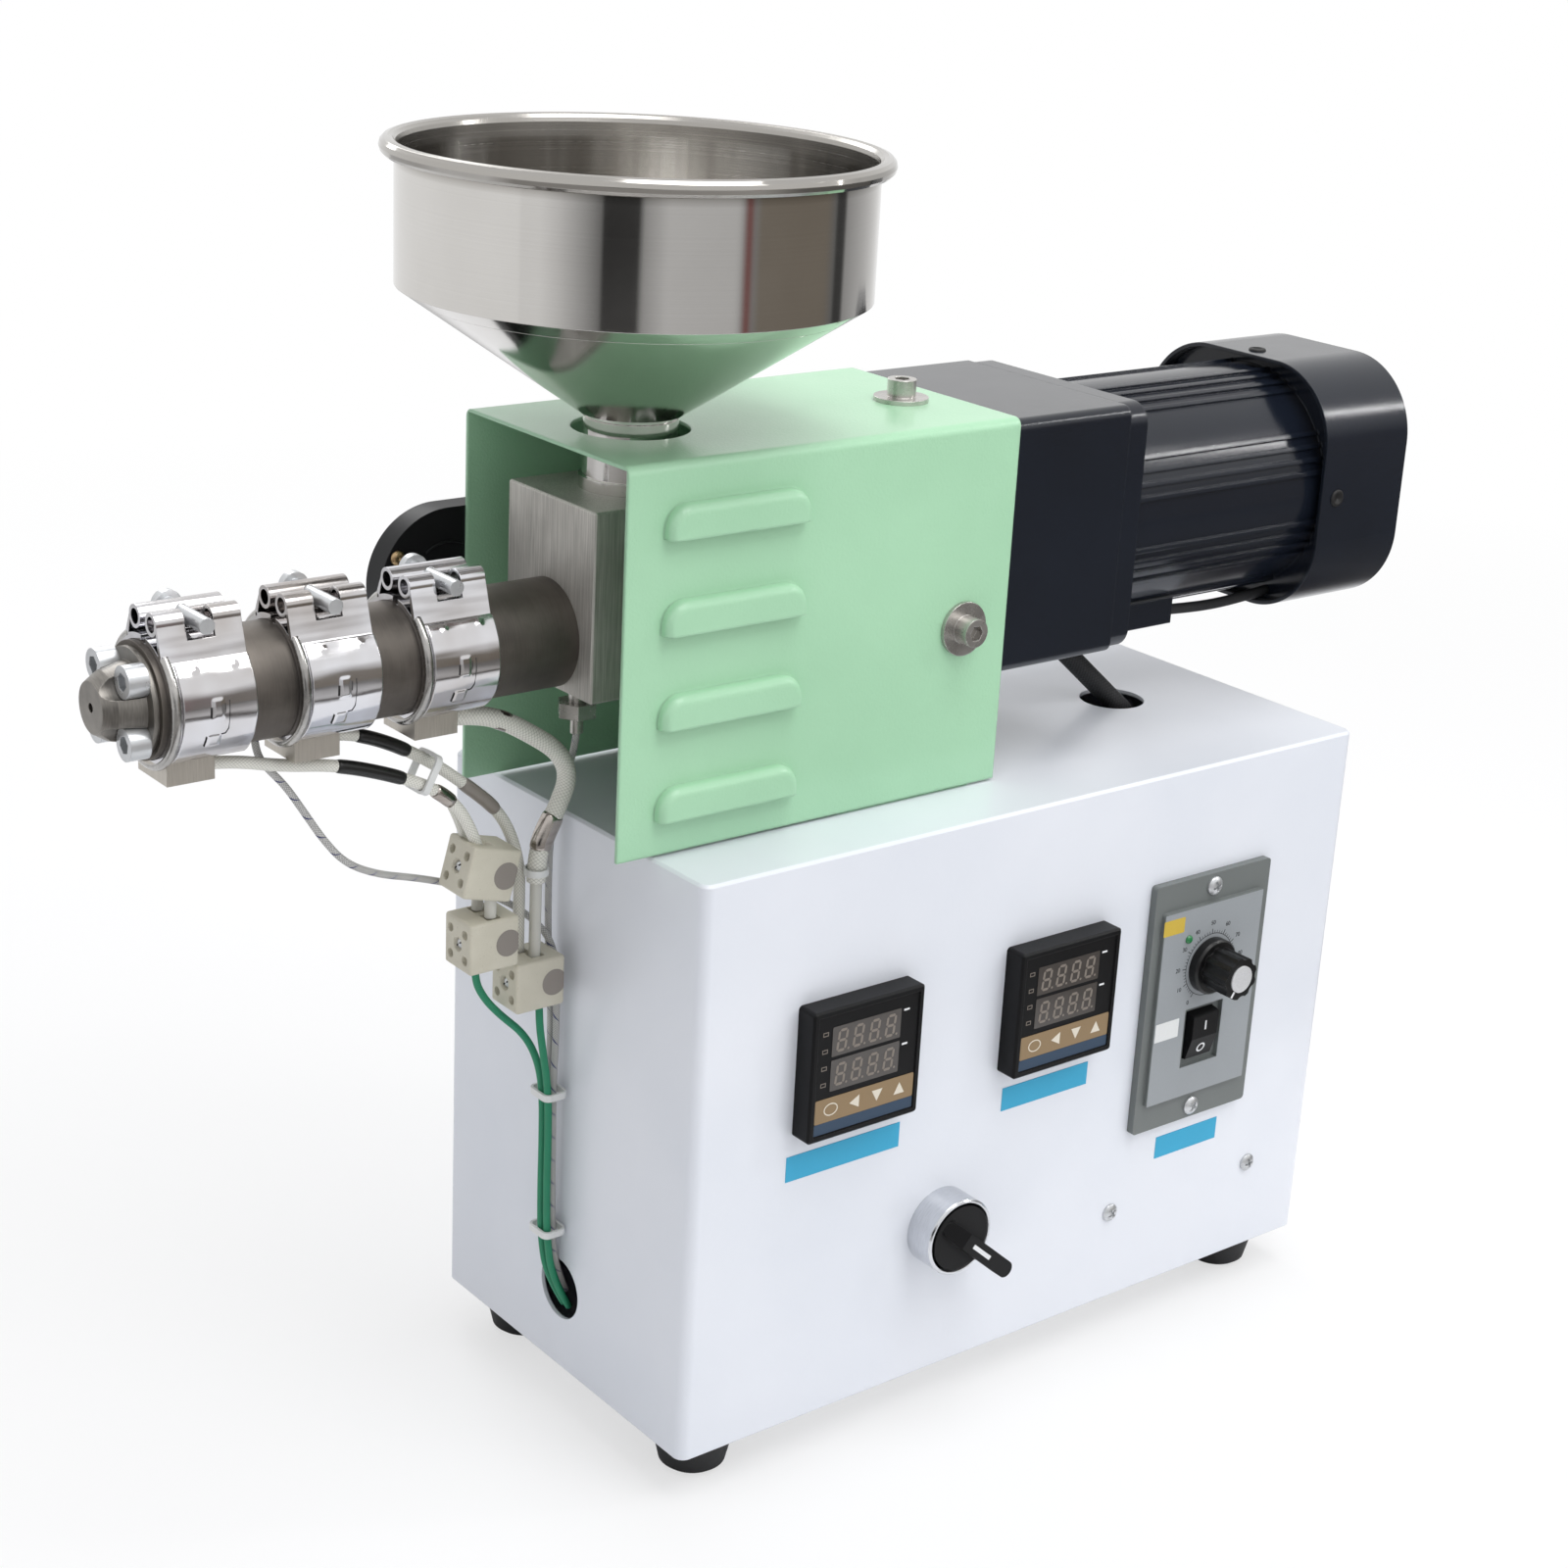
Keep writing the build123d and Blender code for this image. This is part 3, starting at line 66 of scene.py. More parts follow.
def from_cabinet(points):
    """Millimetres from the middle of the cabinet and the floor, as points of the frame."""
    return CABINET_MIDDLE + MM * np.asarray(points, float)


# ---------------------------------------------------------------- shader maths

def colour(red, green, blue, lighter=0):
    """A colour read off as 0 to 255 display values and made lighter by an amount, as the linear
    values that shaders take."""
    shown = np.minimum(np.array([red, green, blue]) + lighter, 255) / 255
    linear = np.where(shown > 0.04045, ((shown + 0.055) / 1.055) ** 2.4, shown / 12.92)
    return (*linear.tolist(), 1.0)


def maths(operation, swapped=False):
    """A method that adds a Math node over the value and another one."""
    def method(self, other=0.0):
        pair = (other, self) if swapped else (self, other)
        return self.tree.node("ShaderNodeMath", {"operation": operation}, dict(enumerate(pair)))
    return method


class Wave:
    """A value in a tree; arithmetic on it adds Math nodes there."""

    def __init__(self, tree, socket):
        self.tree = tree
        self.socket = socket

    __add__ = __radd__ = maths("ADD")
    __sub__ = maths("SUBTRACT")
    __rsub__ = maths("SUBTRACT", swapped=True)
    __mul__ = __rmul__ = maths("MULTIPLY")
    __truediv__ = maths("DIVIDE")
    __pow__ = maths("POWER")
    __lt__ = maths("LESS_THAN")
    __abs__ = maths("ABSOLUTE")
    sine = maths("SINE")
    fraction = maths("FRACT")

    def within(self, low, high):
        """0 below low, 1 above high, and a straight ramp between them."""
        return self.tree.node("ShaderNodeMapRange", None, {0: self, 1: low, 2: high})


class Tree:
    """The nodes of a material or a world, and the one way of adding to them."""

    def __init__(self, holder):
        holder.use_nodes = True
        self.nodes = holder.node_tree.nodes
        self.links = holder.node_tree.links

    def node(self, kind, settings=None, sockets=None, out=0):
        """Any node: its settings first, a ramp's stops among them, then the values or links of its
        sockets."""
        made = self.nodes.new(kind)
        for name, value in (settings or {}).items():
            if name == "stops":
                while len(made.color_ramp.elements) < len(value):
                    made.color_ramp.elements.new(0.5)
                for stop, (position, shade) in zip(made.color_ramp.elements, value):
                    stop.position = position
                    stop.color = shade
            else:
                setattr(made, name, value)
        for key, value in (sockets or {}).items():
            self.join(value, made.inputs[key])
        return Wave(self, made.outputs[out])

    def join(self, value, socket):
        """Links a wave to a socket, or sets the socket to a plain value."""
        if isinstance(value, Wave):
            self.links.new(value.socket, socket)
        else:
            socket.default_value = value

    def ray(self, kind):
        """1 for rays of a kind, such as Camera or Glossy."""
        return self.node("ShaderNodeLightPath", out=f"Is {kind} Ray")


class Finish(Tree):
    """One material: a Principled shader, and what changes over the surface fed into it."""

    def __init__(self, name, fixed=None):
        self.material = bpy.data.materials.new(name)
        super().__init__(self.material)
        self.shader = self.nodes["Principled BSDF"]
        for socket, value in (fixed or {}).items():
            self.feed(socket, value)
        self.place = self.node("ShaderNodeTexCoord", out="Object")
        self.rounded = None

    def feed(self, socket, value):
        self.join(value, self.shader.inputs[socket])

    def show(self, surface):
        """Makes another shader the material's surface."""
        self.join(surface, self.nodes["Material Output"].inputs["Surface"])

    def noise(self, scale, detail=2.0, stretch=None, place=None):
        """Smooth noise from 0 to 1, with features about 1 / scale metres across, and finer along
        the larger parts of the stretch."""
        where = place or self.place
        if stretch:
            where = self.node("ShaderNodeVectorMath", {"operation": "MULTIPLY"}, {0: where, 1: stretch})
        return self.node("ShaderNodeTexNoise", None, {"Vector": where, "Scale": scale, "Detail": detail})

    def streaks(self, stretch, detail=4, place=None):
        """Noise with so many features in a metre along each axis."""
        return self.noise(1.0, detail, stretch, place)

    def mixed(self, low, high, share):
        """A colour between two others."""
        return self.node("ShaderNodeMix", {"data_type": "RGBA"}, {0: share, 6: low, 7: high}, out=2)

    def part(self, axis, place=None):
        """One coordinate of the place on the surface."""
        return self.node("ShaderNodeSeparateXYZ", None, {0: place or self.place}, out=axis)

    def facing(self, direction):
        """How far the face looks along a direction: their dot product."""
        face = self.node("ShaderNodeNewGeometry", out="Normal")
        return self.node("ShaderNodeVectorMath", {"operation": "DOT_PRODUCT"}, {0: face, 1: direction}, out="Value")

    def edges(self, radius):
        """Rounds the shading of edges by a radius in micrometres, and is 0 on flat faces and rises
        towards 1 on edges."""
        self.rounded = self.node("ShaderNodeBevel", {"samples": 4}, {"Radius": radius * MICRON})
        return ((1 - self.facing(self.rounded)) * 6).within(0.0, 1.0)

    def relief(self, height, depth):
        """Bump of a height from 0 to 1 that stands for depth micrometres, over the rounded edges if
        there are any."""
        sockets = {"Height": height, "Distance": depth * MICRON, "Strength": 1.0}
        if self.rounded:
            sockets["Normal"] = self.rounded
        self.feed("Normal", self.node("ShaderNodeBump", None, sockets))


# ---------------------------------------------------------------- finishes

# In all of these, tones are display values, and depth and edge are micrometres
STEEL_EDGE = 400
RIM_STARTS, RIM_FULL = 0.439, 0.4415
TERMINAL_BOXES_TOP = (AXIS_Z - 17.7) * MM


def sprayed(name, tone, deeper, gloss, peel, depth, coat=0.0, edge=600, edge_highlight=22, shine=0.5):
    """Sprayed sheet metal: a tone that drifts a little, orange peel, and edges painted lighter, a painted highlight
    where they would catch light.
    """
    f = Finish(name, {"Coat Weight": coat, "Coat Roughness": 0.14, "Specular IOR Level": shine})
    drift = f.noise(11, detail=3)
    rub = f.noise(60, detail=4)
    body = f.mixed(colour(*deeper), colour(*tone), drift.within(0.3, 0.62))
    # Painted highlight: the edges are painted lighter by the given amount.
    f.feed("Base Color", f.mixed(body, colour(*tone, lighter=edge_highlight), f.edges(edge) * 0.35))
    f.feed("Roughness", gloss + 0.1 * rub - 0.05)
    f.relief(f.noise(peel), depth)
    return f


def drawn_steel(name, dark, light, stretch, rough, depth, blotch=0.35, metal=1.0):
    """Steel with a lay: fine streaks along one direction, over slow patches of tone, and edges painted lighter as a
    painted highlight.
    """
    f = Finish(name, {"Metallic": metal})
    streak = f.streaks(stretch, detail=5)
    patch = f.noise(45, detail=4)
    tone = f.mixed(colour(*dark), colour(*light), (streak * (1 - blotch) + patch * blotch).within(0.3, 0.7))
    # Painted highlight: the edges are painted lighter, where they would catch light.
    f.feed("Base Color", f.mixed(tone, colour(*light, lighter=30), f.edges(STEEL_EDGE) * 0.4))
    f.feed("Roughness", rough + 0.22 * streak - 0.11)
    f.relief(streak, depth)
    return f


def spun_steel():
    """Spun stainless sheet: rings of fine scratches round the hopper's axis, and slow waves in the
    polish. The rolled rim is painted darker, a painted shade for its darker reflections, and the inside is rougher
    and painted darker, with painted streaks down the wall in place of its reflections."""
    f = Finish("spun_stainless", {"Metallic": 1.0, "Anisotropic": 0.75, "Anisotropic Rotation": 0.25})
    east = f.part("X") - float(from_cabinet([HOPPER_X, 0, 0])[0])
    north = f.part("Y") - float(CABINET_MIDDLE[1])
    reach = (east * east + north * north) ** 0.5
    ring = f.node("ShaderNodeCombineXYZ", None, {0: reach, 1: f.part("Z"), 2: 0.0})
    line = f.streaks((2600, 2600, 1), place=ring)
    wave = f.noise(12, detail=1, stretch=(1, 1, 0.5))
    stain = f.noise(30, detail=5)
    # Painted reflections: vertical streaks, dark and light, that stand in for what the inner wall reflects.
    run = f.streaks((42, 42, 2), detail=3).within(0.44, 0.66)
    inside = f.facing(f.node("ShaderNodeCombineXYZ", None, {0: east, 1: north, 2: 0.0})) < 0.0
    # Painted shade: the rim gets a darker colour for its darker reflections.
    rolled = f.part("Z").within(RIM_STARTS, RIM_FULL)
    f.edges(300)
    outer = f.mixed(colour(196, 193, 189), colour(220, 218, 215), line * 0.4 + stain * 0.6)
    # The inside is painted darker, a painted shade, with the painted streaks in it.
    inner = f.mixed(colour(134, 130, 124), colour(214, 212, 208), run)
    f.feed("Base Color", f.mixed(f.mixed(outer, inner, inside), colour(172, 169, 164), rolled))
    f.feed("Roughness", 0.045 + 0.05 * line + 0.05 * stain + inside * (0.1 + 0.1 * line))
    f.relief(line * 0.006 + wave, 550)
    return f


def polished_sheet(name, boxes_below):
    """Bright thin stainless sheet, clamped round the barrel: dents and creases that run along it, so
    that what it mirrors breaks into streaks. Below a height it is brushed sheet, as the terminal
    boxes are."""
    f = Finish(name, {"Metallic": 1.0})
    crease = f.streaks((18, 120, 120), detail=2)
    dent = f.noise(75, detail=1)
    scratch = f.streaks((200, 3000, 3000))
    brushed = f.streaks((2600, 2600, 110))
    warm = f.noise(26, detail=3)
    box = f.part("Z") < boxes_below
    f.edges(300)
    sheet = f.mixed(colour(186, 181, 178), colour(220, 220, 224), warm.within(0.35, 0.6))
    plate = f.mixed(colour(172, 166, 157), colour(212, 207, 198), brushed)
    f.feed("Base Color", f.mixed(sheet, plate, box))
    f.feed("Roughness", (0.07 + 0.09 * scratch) * (1 - box) + (0.3 + 0.2 * brushed) * box)
    f.relief((crease * 0.6 + dent * 0.15 + scratch * 0.004) * (1 - box) + brushed * box * 0.03, 550)
    return f


def moulded(name, tone, rough, grain=900, depth=20, edge=400, coat=0.0, shine=0.5):
    """Moulded plastic or rubber: fine spark grain, a sheen that wanders, and edges painted lighter as a painted
    highlight.
    """
    f = Finish(name, {"Coat Weight": coat, "Coat Roughness": 0.2, "Specular IOR Level": shine})
    grit = f.noise(grain, detail=3)
    sheen = f.noise(35, detail=3)
    body = f.mixed(colour(*(0.92 * c for c in tone)), colour(*tone), sheen)
    # Painted highlight: the edges are painted lighter, where they would catch light.
    f.feed("Base Color", f.mixed(body, colour(*tone, lighter=25), f.edges(edge) * 0.35))
    f.feed("Roughness", rough + 0.16 * sheen - 0.08)
    f.relief(grit, depth)
    return f


def fired_clay():
    """Unglazed steatite: off-white, faintly speckled and chalky."""
    f = Finish("fired_clay")
    speck = f.noise(1500)
    cloud = f.noise(90, detail=4)
    body = f.mixed(colour(184, 179, 162), colour(206, 202, 187), cloud)
    f.feed("Base Color", f.mixed(body, colour(146, 140, 124), speck.within(0.66, 0.74) * 0.5))
    f.feed("Roughness", 0.5 + 0.2 * cloud)
    f.relief(speck * 0.4 + cloud * 0.6, 120)
    return f


def braid(name, thread, groove_shade, rough, strands, pitch, depth, fleck=None):
    """A braided sleeve, on the tube's own map: u goes once round it and v is millimetres along it.
    Two sets of strands wind opposite ways, and each is a rounded ridge that dips where it goes
    under. The grooves between strands are painted darker, a painted shade. Flecks are short pieces of a coloured
    strand."""
    f = Finish(name)
    chart = f.node("ShaderNodeTexCoord", out="UV")
    around, along = f.part("X", chart), f.part("Y", chart)
    right = ((around * strands + along / pitch) * math.pi).sine()
    left = ((around * strands - along / pitch) * math.pi).sine()
    ridge = abs(right) * abs(left)
    dust = f.noise(200, detail=3)
    # Painted shade: darker where the strands dip into the grooves between them.
    tone = f.mixed(colour(*groove_shade), colour(*thread), (ridge * 1.6 + dust * 0.3).within(0.15, 0.9))
    if fleck:
        strand = (around + along / 9.0).fraction() < 0.17
        over = (along / 3.0 + around * 2).fraction() < 0.42
        tone = f.mixed(tone, colour(*fleck), strand * over)
    f.feed("Base Color", tone)
    f.feed("Roughness", rough + 0.15 * dust)
    f.relief(ridge, depth)
    return f


def paper(name, tone, rough=0.7):
    """Matt coated paper or printed film, with faint fibres."""
    f = Finish(name)
    fibre = f.streaks((1500, 1500, 3500))
    cloud = f.noise(70)
    f.feed("Base Color", f.mixed(colour(*(0.93 * c for c in tone)), colour(*tone), fibre * 0.6 + cloud * 0.4))
    f.feed("Roughness", rough + 0.1 * cloud)
    f.relief(fibre, 10)
    return f


def glass_front():
    """Smoked display glass with a faint row of lamp chips behind it."""
    f = Finish("smoked_glass", {"Coat Weight": 0.6, "Coat Roughness": 0.06})
    chip = f.noise(400)
    f.feed("Base Color", f.mixed(colour(52, 47, 44), colour(66, 60, 55), chip))
    f.feed("Roughness", 0.25 + 0.1 * chip)
    return f


white_powder = sprayed("white_powder_coat", (226, 229, 236), (219, 223, 231), 0.34, peel=420, depth=35, coat=0.2)
mint_powder = sprayed("mint_powder_coat", (166, 212, 176), (158, 204, 168), 0.33, peel=1050, depth=120, coat=0.35,
                      edge=1500)
motor_enamel = sprayed("motor_enamel", (23, 28, 38), (19, 23, 31), 0.17, peel=500, depth=20, coat=0.2, edge=900,
                       edge_highlight=12, shine=0.32)
ground_block = drawn_steel("ground_steel", (150, 147, 142), (208, 206, 200), (2200, 2200, 60), 0.5, 40, metal=0.7)
scaled_barrel = drawn_steel("scaled_barrel", (84, 80, 76), (118, 112, 106), (2200, 90, 90), 0.52, 30, blotch=0.75)
turned_die = drawn_steel("turned_die", (106, 103, 99), (154, 150, 144), (2500, 260, 260), 0.4, 20, blotch=0.6)
turned_screw = drawn_steel("turned_screw", (120, 117, 112), (170, 167, 162), (2600, 120, 120), 0.33, 20)
zinc_plate = drawn_steel("zinc_plate", (190, 192, 194), (212, 214, 216), (160, 160, 160), 0.3, 8, blotch=0.6,
                         metal=0.75)
bolt_steel = drawn_steel("bolt_steel", (164, 161, 157), (204, 201, 197), (160, 160, 160), 0.27, 8, blotch=0.6,
                         metal=0.86)
spun_cap = drawn_steel("spun_cap", (200, 201, 203), (232, 233, 235), (2400, 300, 2400), 0.4, 10, blotch=0.5,
                       metal=0.4)
bead_steel = drawn_steel("bead_steel", (150, 148, 146), (196, 194, 191), (500, 500, 500), 0.24, 10, blotch=0.6)
bright_ring = drawn_steel("bright_ring", (196, 198, 202), (226, 228, 232), (300, 2400, 300), 0.16, 10, blotch=0.5)
brass_head = drawn_steel("brass_head", (160, 132, 96), (205, 180, 140), (900, 900, 900), 0.3, 10, blotch=0.6)
ferrule_steel = drawn_steel("ferrule_steel", (150, 142, 136), (200, 194, 188), (120, 120, 900), 0.16, 10, blotch=0.6)
spun = spun_steel()
band_sheet = polished_sheet("polished_band", TERMINAL_BOXES_TOP)
wrap_chrome = polished_sheet("polished_wrap", 0.0)
black_moulding = moulded("black_moulding", (12, 12, 14), 0.4, shine=0.18)
knob_black = moulded("knob_black", (11, 11, 12), 0.34, shine=0.4)
blower_black = moulded("blower_black", (17, 18, 21), 0.45, grain=700, shine=0.25)
# Black for the cover screws; also painted shade, as the dark slots of the terminal screws and the dark cuts of the
# band locks.
black_and_recess_shade = moulded("black_and_recess_shade", (14, 13, 13), 0.6)
shrink_black = moulded("shrink_black", (20, 20, 20), 0.3, grain=300)
sleeve_plain = moulded("sleeve_plain", (204, 203, 195), 0.5, grain=500, depth=30)
mica_grey = moulded("mica_grey", (140, 133, 126), 0.35, grain=300)
foot_rubber = moulded("foot_rubber", (22, 22, 23), 0.55, grain=500, depth=40)
drive_case = moulded("drive_case", (112, 117, 116), 0.45)
tie_nylon = moulded("tie_nylon", (226, 227, 226), 0.35, grain=300, depth=10, edge=200)
green_lens = moulded("green_lens", (24, 120, 62), 0.2, coat=0.5)
clay = fired_clay()
glass_braid = braid("glass_braid", (226, 225, 217), (188, 187, 179), 0.55, strands=12, pitch=1.3, depth=70)
probe_braid = braid("probe_braid", (202, 201, 198), (120, 120, 121), 0.5, strands=8, pitch=0.9, depth=120,
                    fleck=(38, 44, 100))
green_braid = braid("green_braid", (28, 142, 102), (10, 96, 68), 0.5, strands=8, pitch=0.8, depth=80)
black_braid = braid("black_braid", (34, 35, 38), (16, 16, 18), 0.55, strands=12, pitch=1.3, depth=120)
blue_paper = paper("blue_paper", (56, 170, 211))
white_film = paper("white_film", (228, 230, 230), 0.5)
yellow_film = paper("yellow_film", (206, 176, 62), 0.5)
drive_film = paper("drive_film", (152, 157, 161), 0.4)
tan_film = paper("tan_film", (142, 118, 84), 0.4)
navy_film = paper("navy_film", (36, 62, 88), 0.4)
key_ink = paper("key_ink", (222, 214, 198), 0.5)
black_ink = paper("black_ink", (30, 31, 34), 0.5)
lamp_grey = paper("lamp_grey", (126, 117, 108), 0.45)
white_ink = paper("white_ink", (232, 233, 235), 0.5)
smoked = glass_front()

dressed = {
    white_powder: ("cabinet_shell", "cabinet_base"),
    mint_powder: ("guard_cover", "gear_bracket"),
    motor_enamel: ("gear_head", "motor_end_flange", "motor_body", "fan_cover", "terminal_box"),
    ground_block: ("feed_block", "bearing_housing"),
    scaled_barrel: ("barrel",),
    turned_die: ("nozzle",),
    turned_screw: ("feed_screw",),
    zinc_plate: ("clamp_screws", "die_screws", "panel_screws"),
    bolt_steel: ("guard_bolts", "block_probe"),
    bright_ring: ("selector_ring",),
    spun_cap: ("knob_cap",),
    spun: ("hopper_wall", "hopper_cone", "hopper_neck"),
    band_sheet: ("heater_band_1", "heater_band_2", "heater_band_3"),
    black_moulding: ("temperature_controller_1", "temperature_controller_2", "rocker_switch", "selector_lever"),
    knob_black: ("speed_knob",),
    blower_black: ("cooling_blower", "blower_impeller", "motor_fan"),
    foot_rubber: ("rubber_feet",),
    drive_case: ("speed_controller",),
    tie_nylon: ("lead_ties",),
    sleeve_plain: ("lead_links",),
    clay: ("ceramic_terminals",),
}
for finish, names in dressed.items():
    for name in names:
        nodes[name].data.materials.clear()
        nodes[name].data.materials.append(finish.material)


# ---------------------------------------------------------------- outlines, x and z in millimetres

def angles_round(count):
    """Angles evenly spread round a circle."""
    return np.linspace(0, 2 * math.pi, count, endpoint=False)


def rotated(points, degrees):
    """Points x and z turned anticlockwise, as seen from in front of the panel."""
    cosine, sine = math.cos(math.radians(degrees)), math.sin(math.radians(degrees))
    x, z = np.moveaxis(np.asarray(points, float), -1, 0)
    return np.stack([x * cosine - z * sine, x * sine + z * cosine], axis=-1)


def oblong(x_low, x_high, z_low, z_high, corner=0.0):
    """A rectangle, each corner a quarter circle."""
    if not corner:
        return np.array([(x_low, z_low), (x_high, z_low), (x_high, z_high), (x_low, z_high)])
    middles = [(x_high - corner, z_high - corner), (x_low + corner, z_high - corner),
               (x_low + corner, z_low + corner), (x_high - corner, z_low + corner)]
    quarter = np.linspace(0, 90, 5)
    return np.concatenate([rotated([(corner, 0.0)], 90 * turn + step) + middle
                           for turn, middle in enumerate(middles) for step in quarter])


def disc(x, z, radius, sides=24):
    """A circle."""
    angle = angles_round(sides)
    return np.column_stack([x + radius * np.cos(angle), z + radius * np.sin(angle)])


def bar(centre, degrees, start, end, half):
    """A straight bar, from one distance to another along a direction from a centre."""
    return rotated(oblong(start, end, -half, half), degrees) + centre


# ---------------------------------------------------------------- surfaces

def skin(grid, closed=True, ends=True, looped=False):
    """Faces over a grid of points: a quad for each cell, the columns closed on themselves, and
    one face over each end row. A looped grid's last row joins its first."""
    rows, columns = grid.shape[:2]
    index = np.arange(rows * columns).reshape(rows, columns)
    if looped:
        index = np.vstack([index, index[:1]])
    left = index if closed else index[:, :-1]
    right = np.roll(index, -1, axis=1) if closed else index[:, 1:]
    faces = np.stack([left[:-1], right[:-1], right[1:], left[1:]], axis=-1).reshape(-1, 4).tolist()
    if ends:
        faces += [index[0, ::-1].tolist(), index[-1].tolist()]
    return grid.reshape(-1, 3), faces


def weld(points, faces):
    """Points that lie together made one, and the faces over them."""
    _, kept, joined = np.unique(np.round(points, 5), axis=0, return_index=True, return_inverse=True)
    joined = joined.ravel()
    return points[kept], [[int(joined[i]) for i in face] for face in faces]


def mesh_object(name, points, faces, finishes):
    """An object of the scene with one mesh."""
    mesh = bpy.data.meshes.new(name)
    mesh.from_pydata(np.asarray(points, float).tolist(), [], faces)
    for finish in finishes:
        mesh.materials.append(finish.material)
    piece = bpy.data.objects.new(name, mesh)
    bpy.context.scene.collection.objects.link(piece)
    return piece


def add_piece(name, parts, body="root", smooth=True, chart=None):
    """One object from parts, each of them a surface, as points and faces, and its finish. It rides
    on a body."""
    finishes = list(dict.fromkeys(finish for _, finish in parts))
    faces = []
    marks = []
    start = 0
    for (points, part_faces), finish in parts:
        faces += [[start + i for i in face] for face in part_faces]
        marks += [finishes.index(finish)] * len(part_faces)
        start += len(points)
    piece = mesh_object(name, np.concatenate([points for (points, _), _ in parts]), faces, finishes)
    piece.data.polygons.foreach_set("material_index", marks)
    piece.data.polygons.foreach_set("use_smooth", [smooth] * len(faces))
    if chart is not None:
        layer = piece.data.uv_layers.new(name="chart")
        layer.data.foreach_set("uv", np.asarray(chart, float).ravel())
    piece.data.update()
    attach(piece, body)
    return piece


def crisp(piece, degrees):
    """Shades edges sharper than this angle as edges."""
    piece.data.set_sharp_from_angle(angle=math.radians(degrees))
    return piece


def square_to(axis):
    """Two directions square to an axis, so that first, second and axis are right-handed."""
    axis = np.asarray(axis, float) / np.linalg.norm(axis)
    helper = np.eye(3)[np.argmin(abs(axis))]
    first = np.cross(helper, axis)
    first /= np.linalg.norm(first)
    return first, np.cross(axis, first), axis


def spin(profile, centre, axis, sides):
    """A profile of radius and height in millimetres, carried round an axis through a point:
    centre + radius (cos a, sin a) across the axis + height along it."""
    profile = np.asarray(profile, float)
    first, second, along = square_to(axis)
    angle = angles_round(sides)[:, None]
    ring = np.cos(angle) * first + np.sin(angle) * second
    grid = np.asarray(centre) + profile[:, 0, None, None] * ring + profile[:, 1, None, None] * along
    return skin(from_cabinet(grid))


def standing(outline, depth):
    """A flat outline of x and z set at a depth."""
    outline = np.asarray(outline, float)
    return np.column_stack([outline[:, 0], np.full(len(outline), depth), outline[:, 1]])


def prism(outline, front, thickness):
    """A flat outline, anticlockwise as seen from in front of the panel, with its face at depth
    front and its back behind it."""
    return skin(from_cabinet(np.stack([standing(outline, front + thickness), standing(outline, front)])))


def plate(middle, box, front, thickness, finish, corner=0.0):
    """A part of a piece: a thin rectangle of x_low, x_high, z_low, z_high from a middle."""
    return prism(oblong(*box, corner) + middle, front, thickness), finish


def band(inner, outer, front, thickness):
    """A flat ring between two outlines with the same number of points: the section goes once
    round the ring's square profile."""
    back = front + thickness
    loops = [standing(outer, back), standing(outer, front), standing(inner, front), standing(inner, back)]
    return skin(from_cabinet(np.stack(loops)), ends=False, looped=True)


def curve_mesh(curve):
    """The points and faces that Blender makes of a curve."""
    holder = bpy.data.objects.new(curve.name, curve)
    mesh = bpy.data.meshes.new_from_object(holder)
    points = np.array([list(vertex.co) for vertex in mesh.vertices])
    faces = [list(face.vertices) for face in mesh.polygons]
    bpy.data.objects.remove(holder)
    bpy.data.meshes.remove(mesh)
    return points, faces


# A font's size over the height of its numbers, and half a number's thickness in millimetres
FONT_OVER_HEIGHT = 1.4
LETTER_HALF = 0.04


def lettering(text, size, x, z, front):
    """Plain numbers as thin solids, size millimetres high, with their middle at x and z."""
    curve = bpy.data.curves.new("lettering", "FONT")
    curve.body = text
    curve.size = size * FONT_OVER_HEIGHT
    curve.extrude = LETTER_HALF
    curve.align_x = "CENTER"
    curve.align_y = "CENTER"
    flat, faces = curve_mesh(curve)
    points, faces = weld(np.column_stack([x + flat[:, 0], front - flat[:, 2], z + flat[:, 1]]), faces)
    return from_cabinet(points), faces


# ---------------------------------------------------------------- camera

# Solved from the cabinet's edges in the photograph, which is 1600 pixels wide
FOCAL_PIXELS = 2822.28
PHOTO_PIXELS = 1600
SENSOR = 36.0
YAW, PITCH, ROLL = 0.680816, 0.348508, -0.053784
EYE = (-0.579149, -0.706077, 0.556208)


def axes_matrix(first, second, third, place):
    """The matrix of an object with these axes at a place."""
    return Matrix([(first[i], second[i], third[i], place[i]) for i in range(3)] + [(0, 0, 0, 1)])


forward = np.array([math.sin(YAW) * math.cos(PITCH), math.cos(YAW) * math.cos(PITCH), -math.sin(PITCH)])
level_right = np.array([math.cos(YAW), -math.sin(YAW), 0.0])
level_down = np.cross(forward, level_right)
right = math.cos(ROLL) * level_right + math.sin(ROLL) * level_down
down = -math.sin(ROLL) * level_right + math.cos(ROLL) * level_down
lens = bpy.data.cameras.new("camera")
lens.sensor_width = SENSOR
lens.lens = SENSOR * FOCAL_PIXELS / PHOTO_PIXELS
lens.clip_start = 0.01
lens.clip_end = 100.0
camera = bpy.data.objects.new("camera", lens)
camera.matrix_world = axes_matrix(right, -down, -forward, EYE)
bpy.context.scene.collection.objects.link(camera)
bpy.context.scene.camera = camera


# ---------------------------------------------------------------- leads

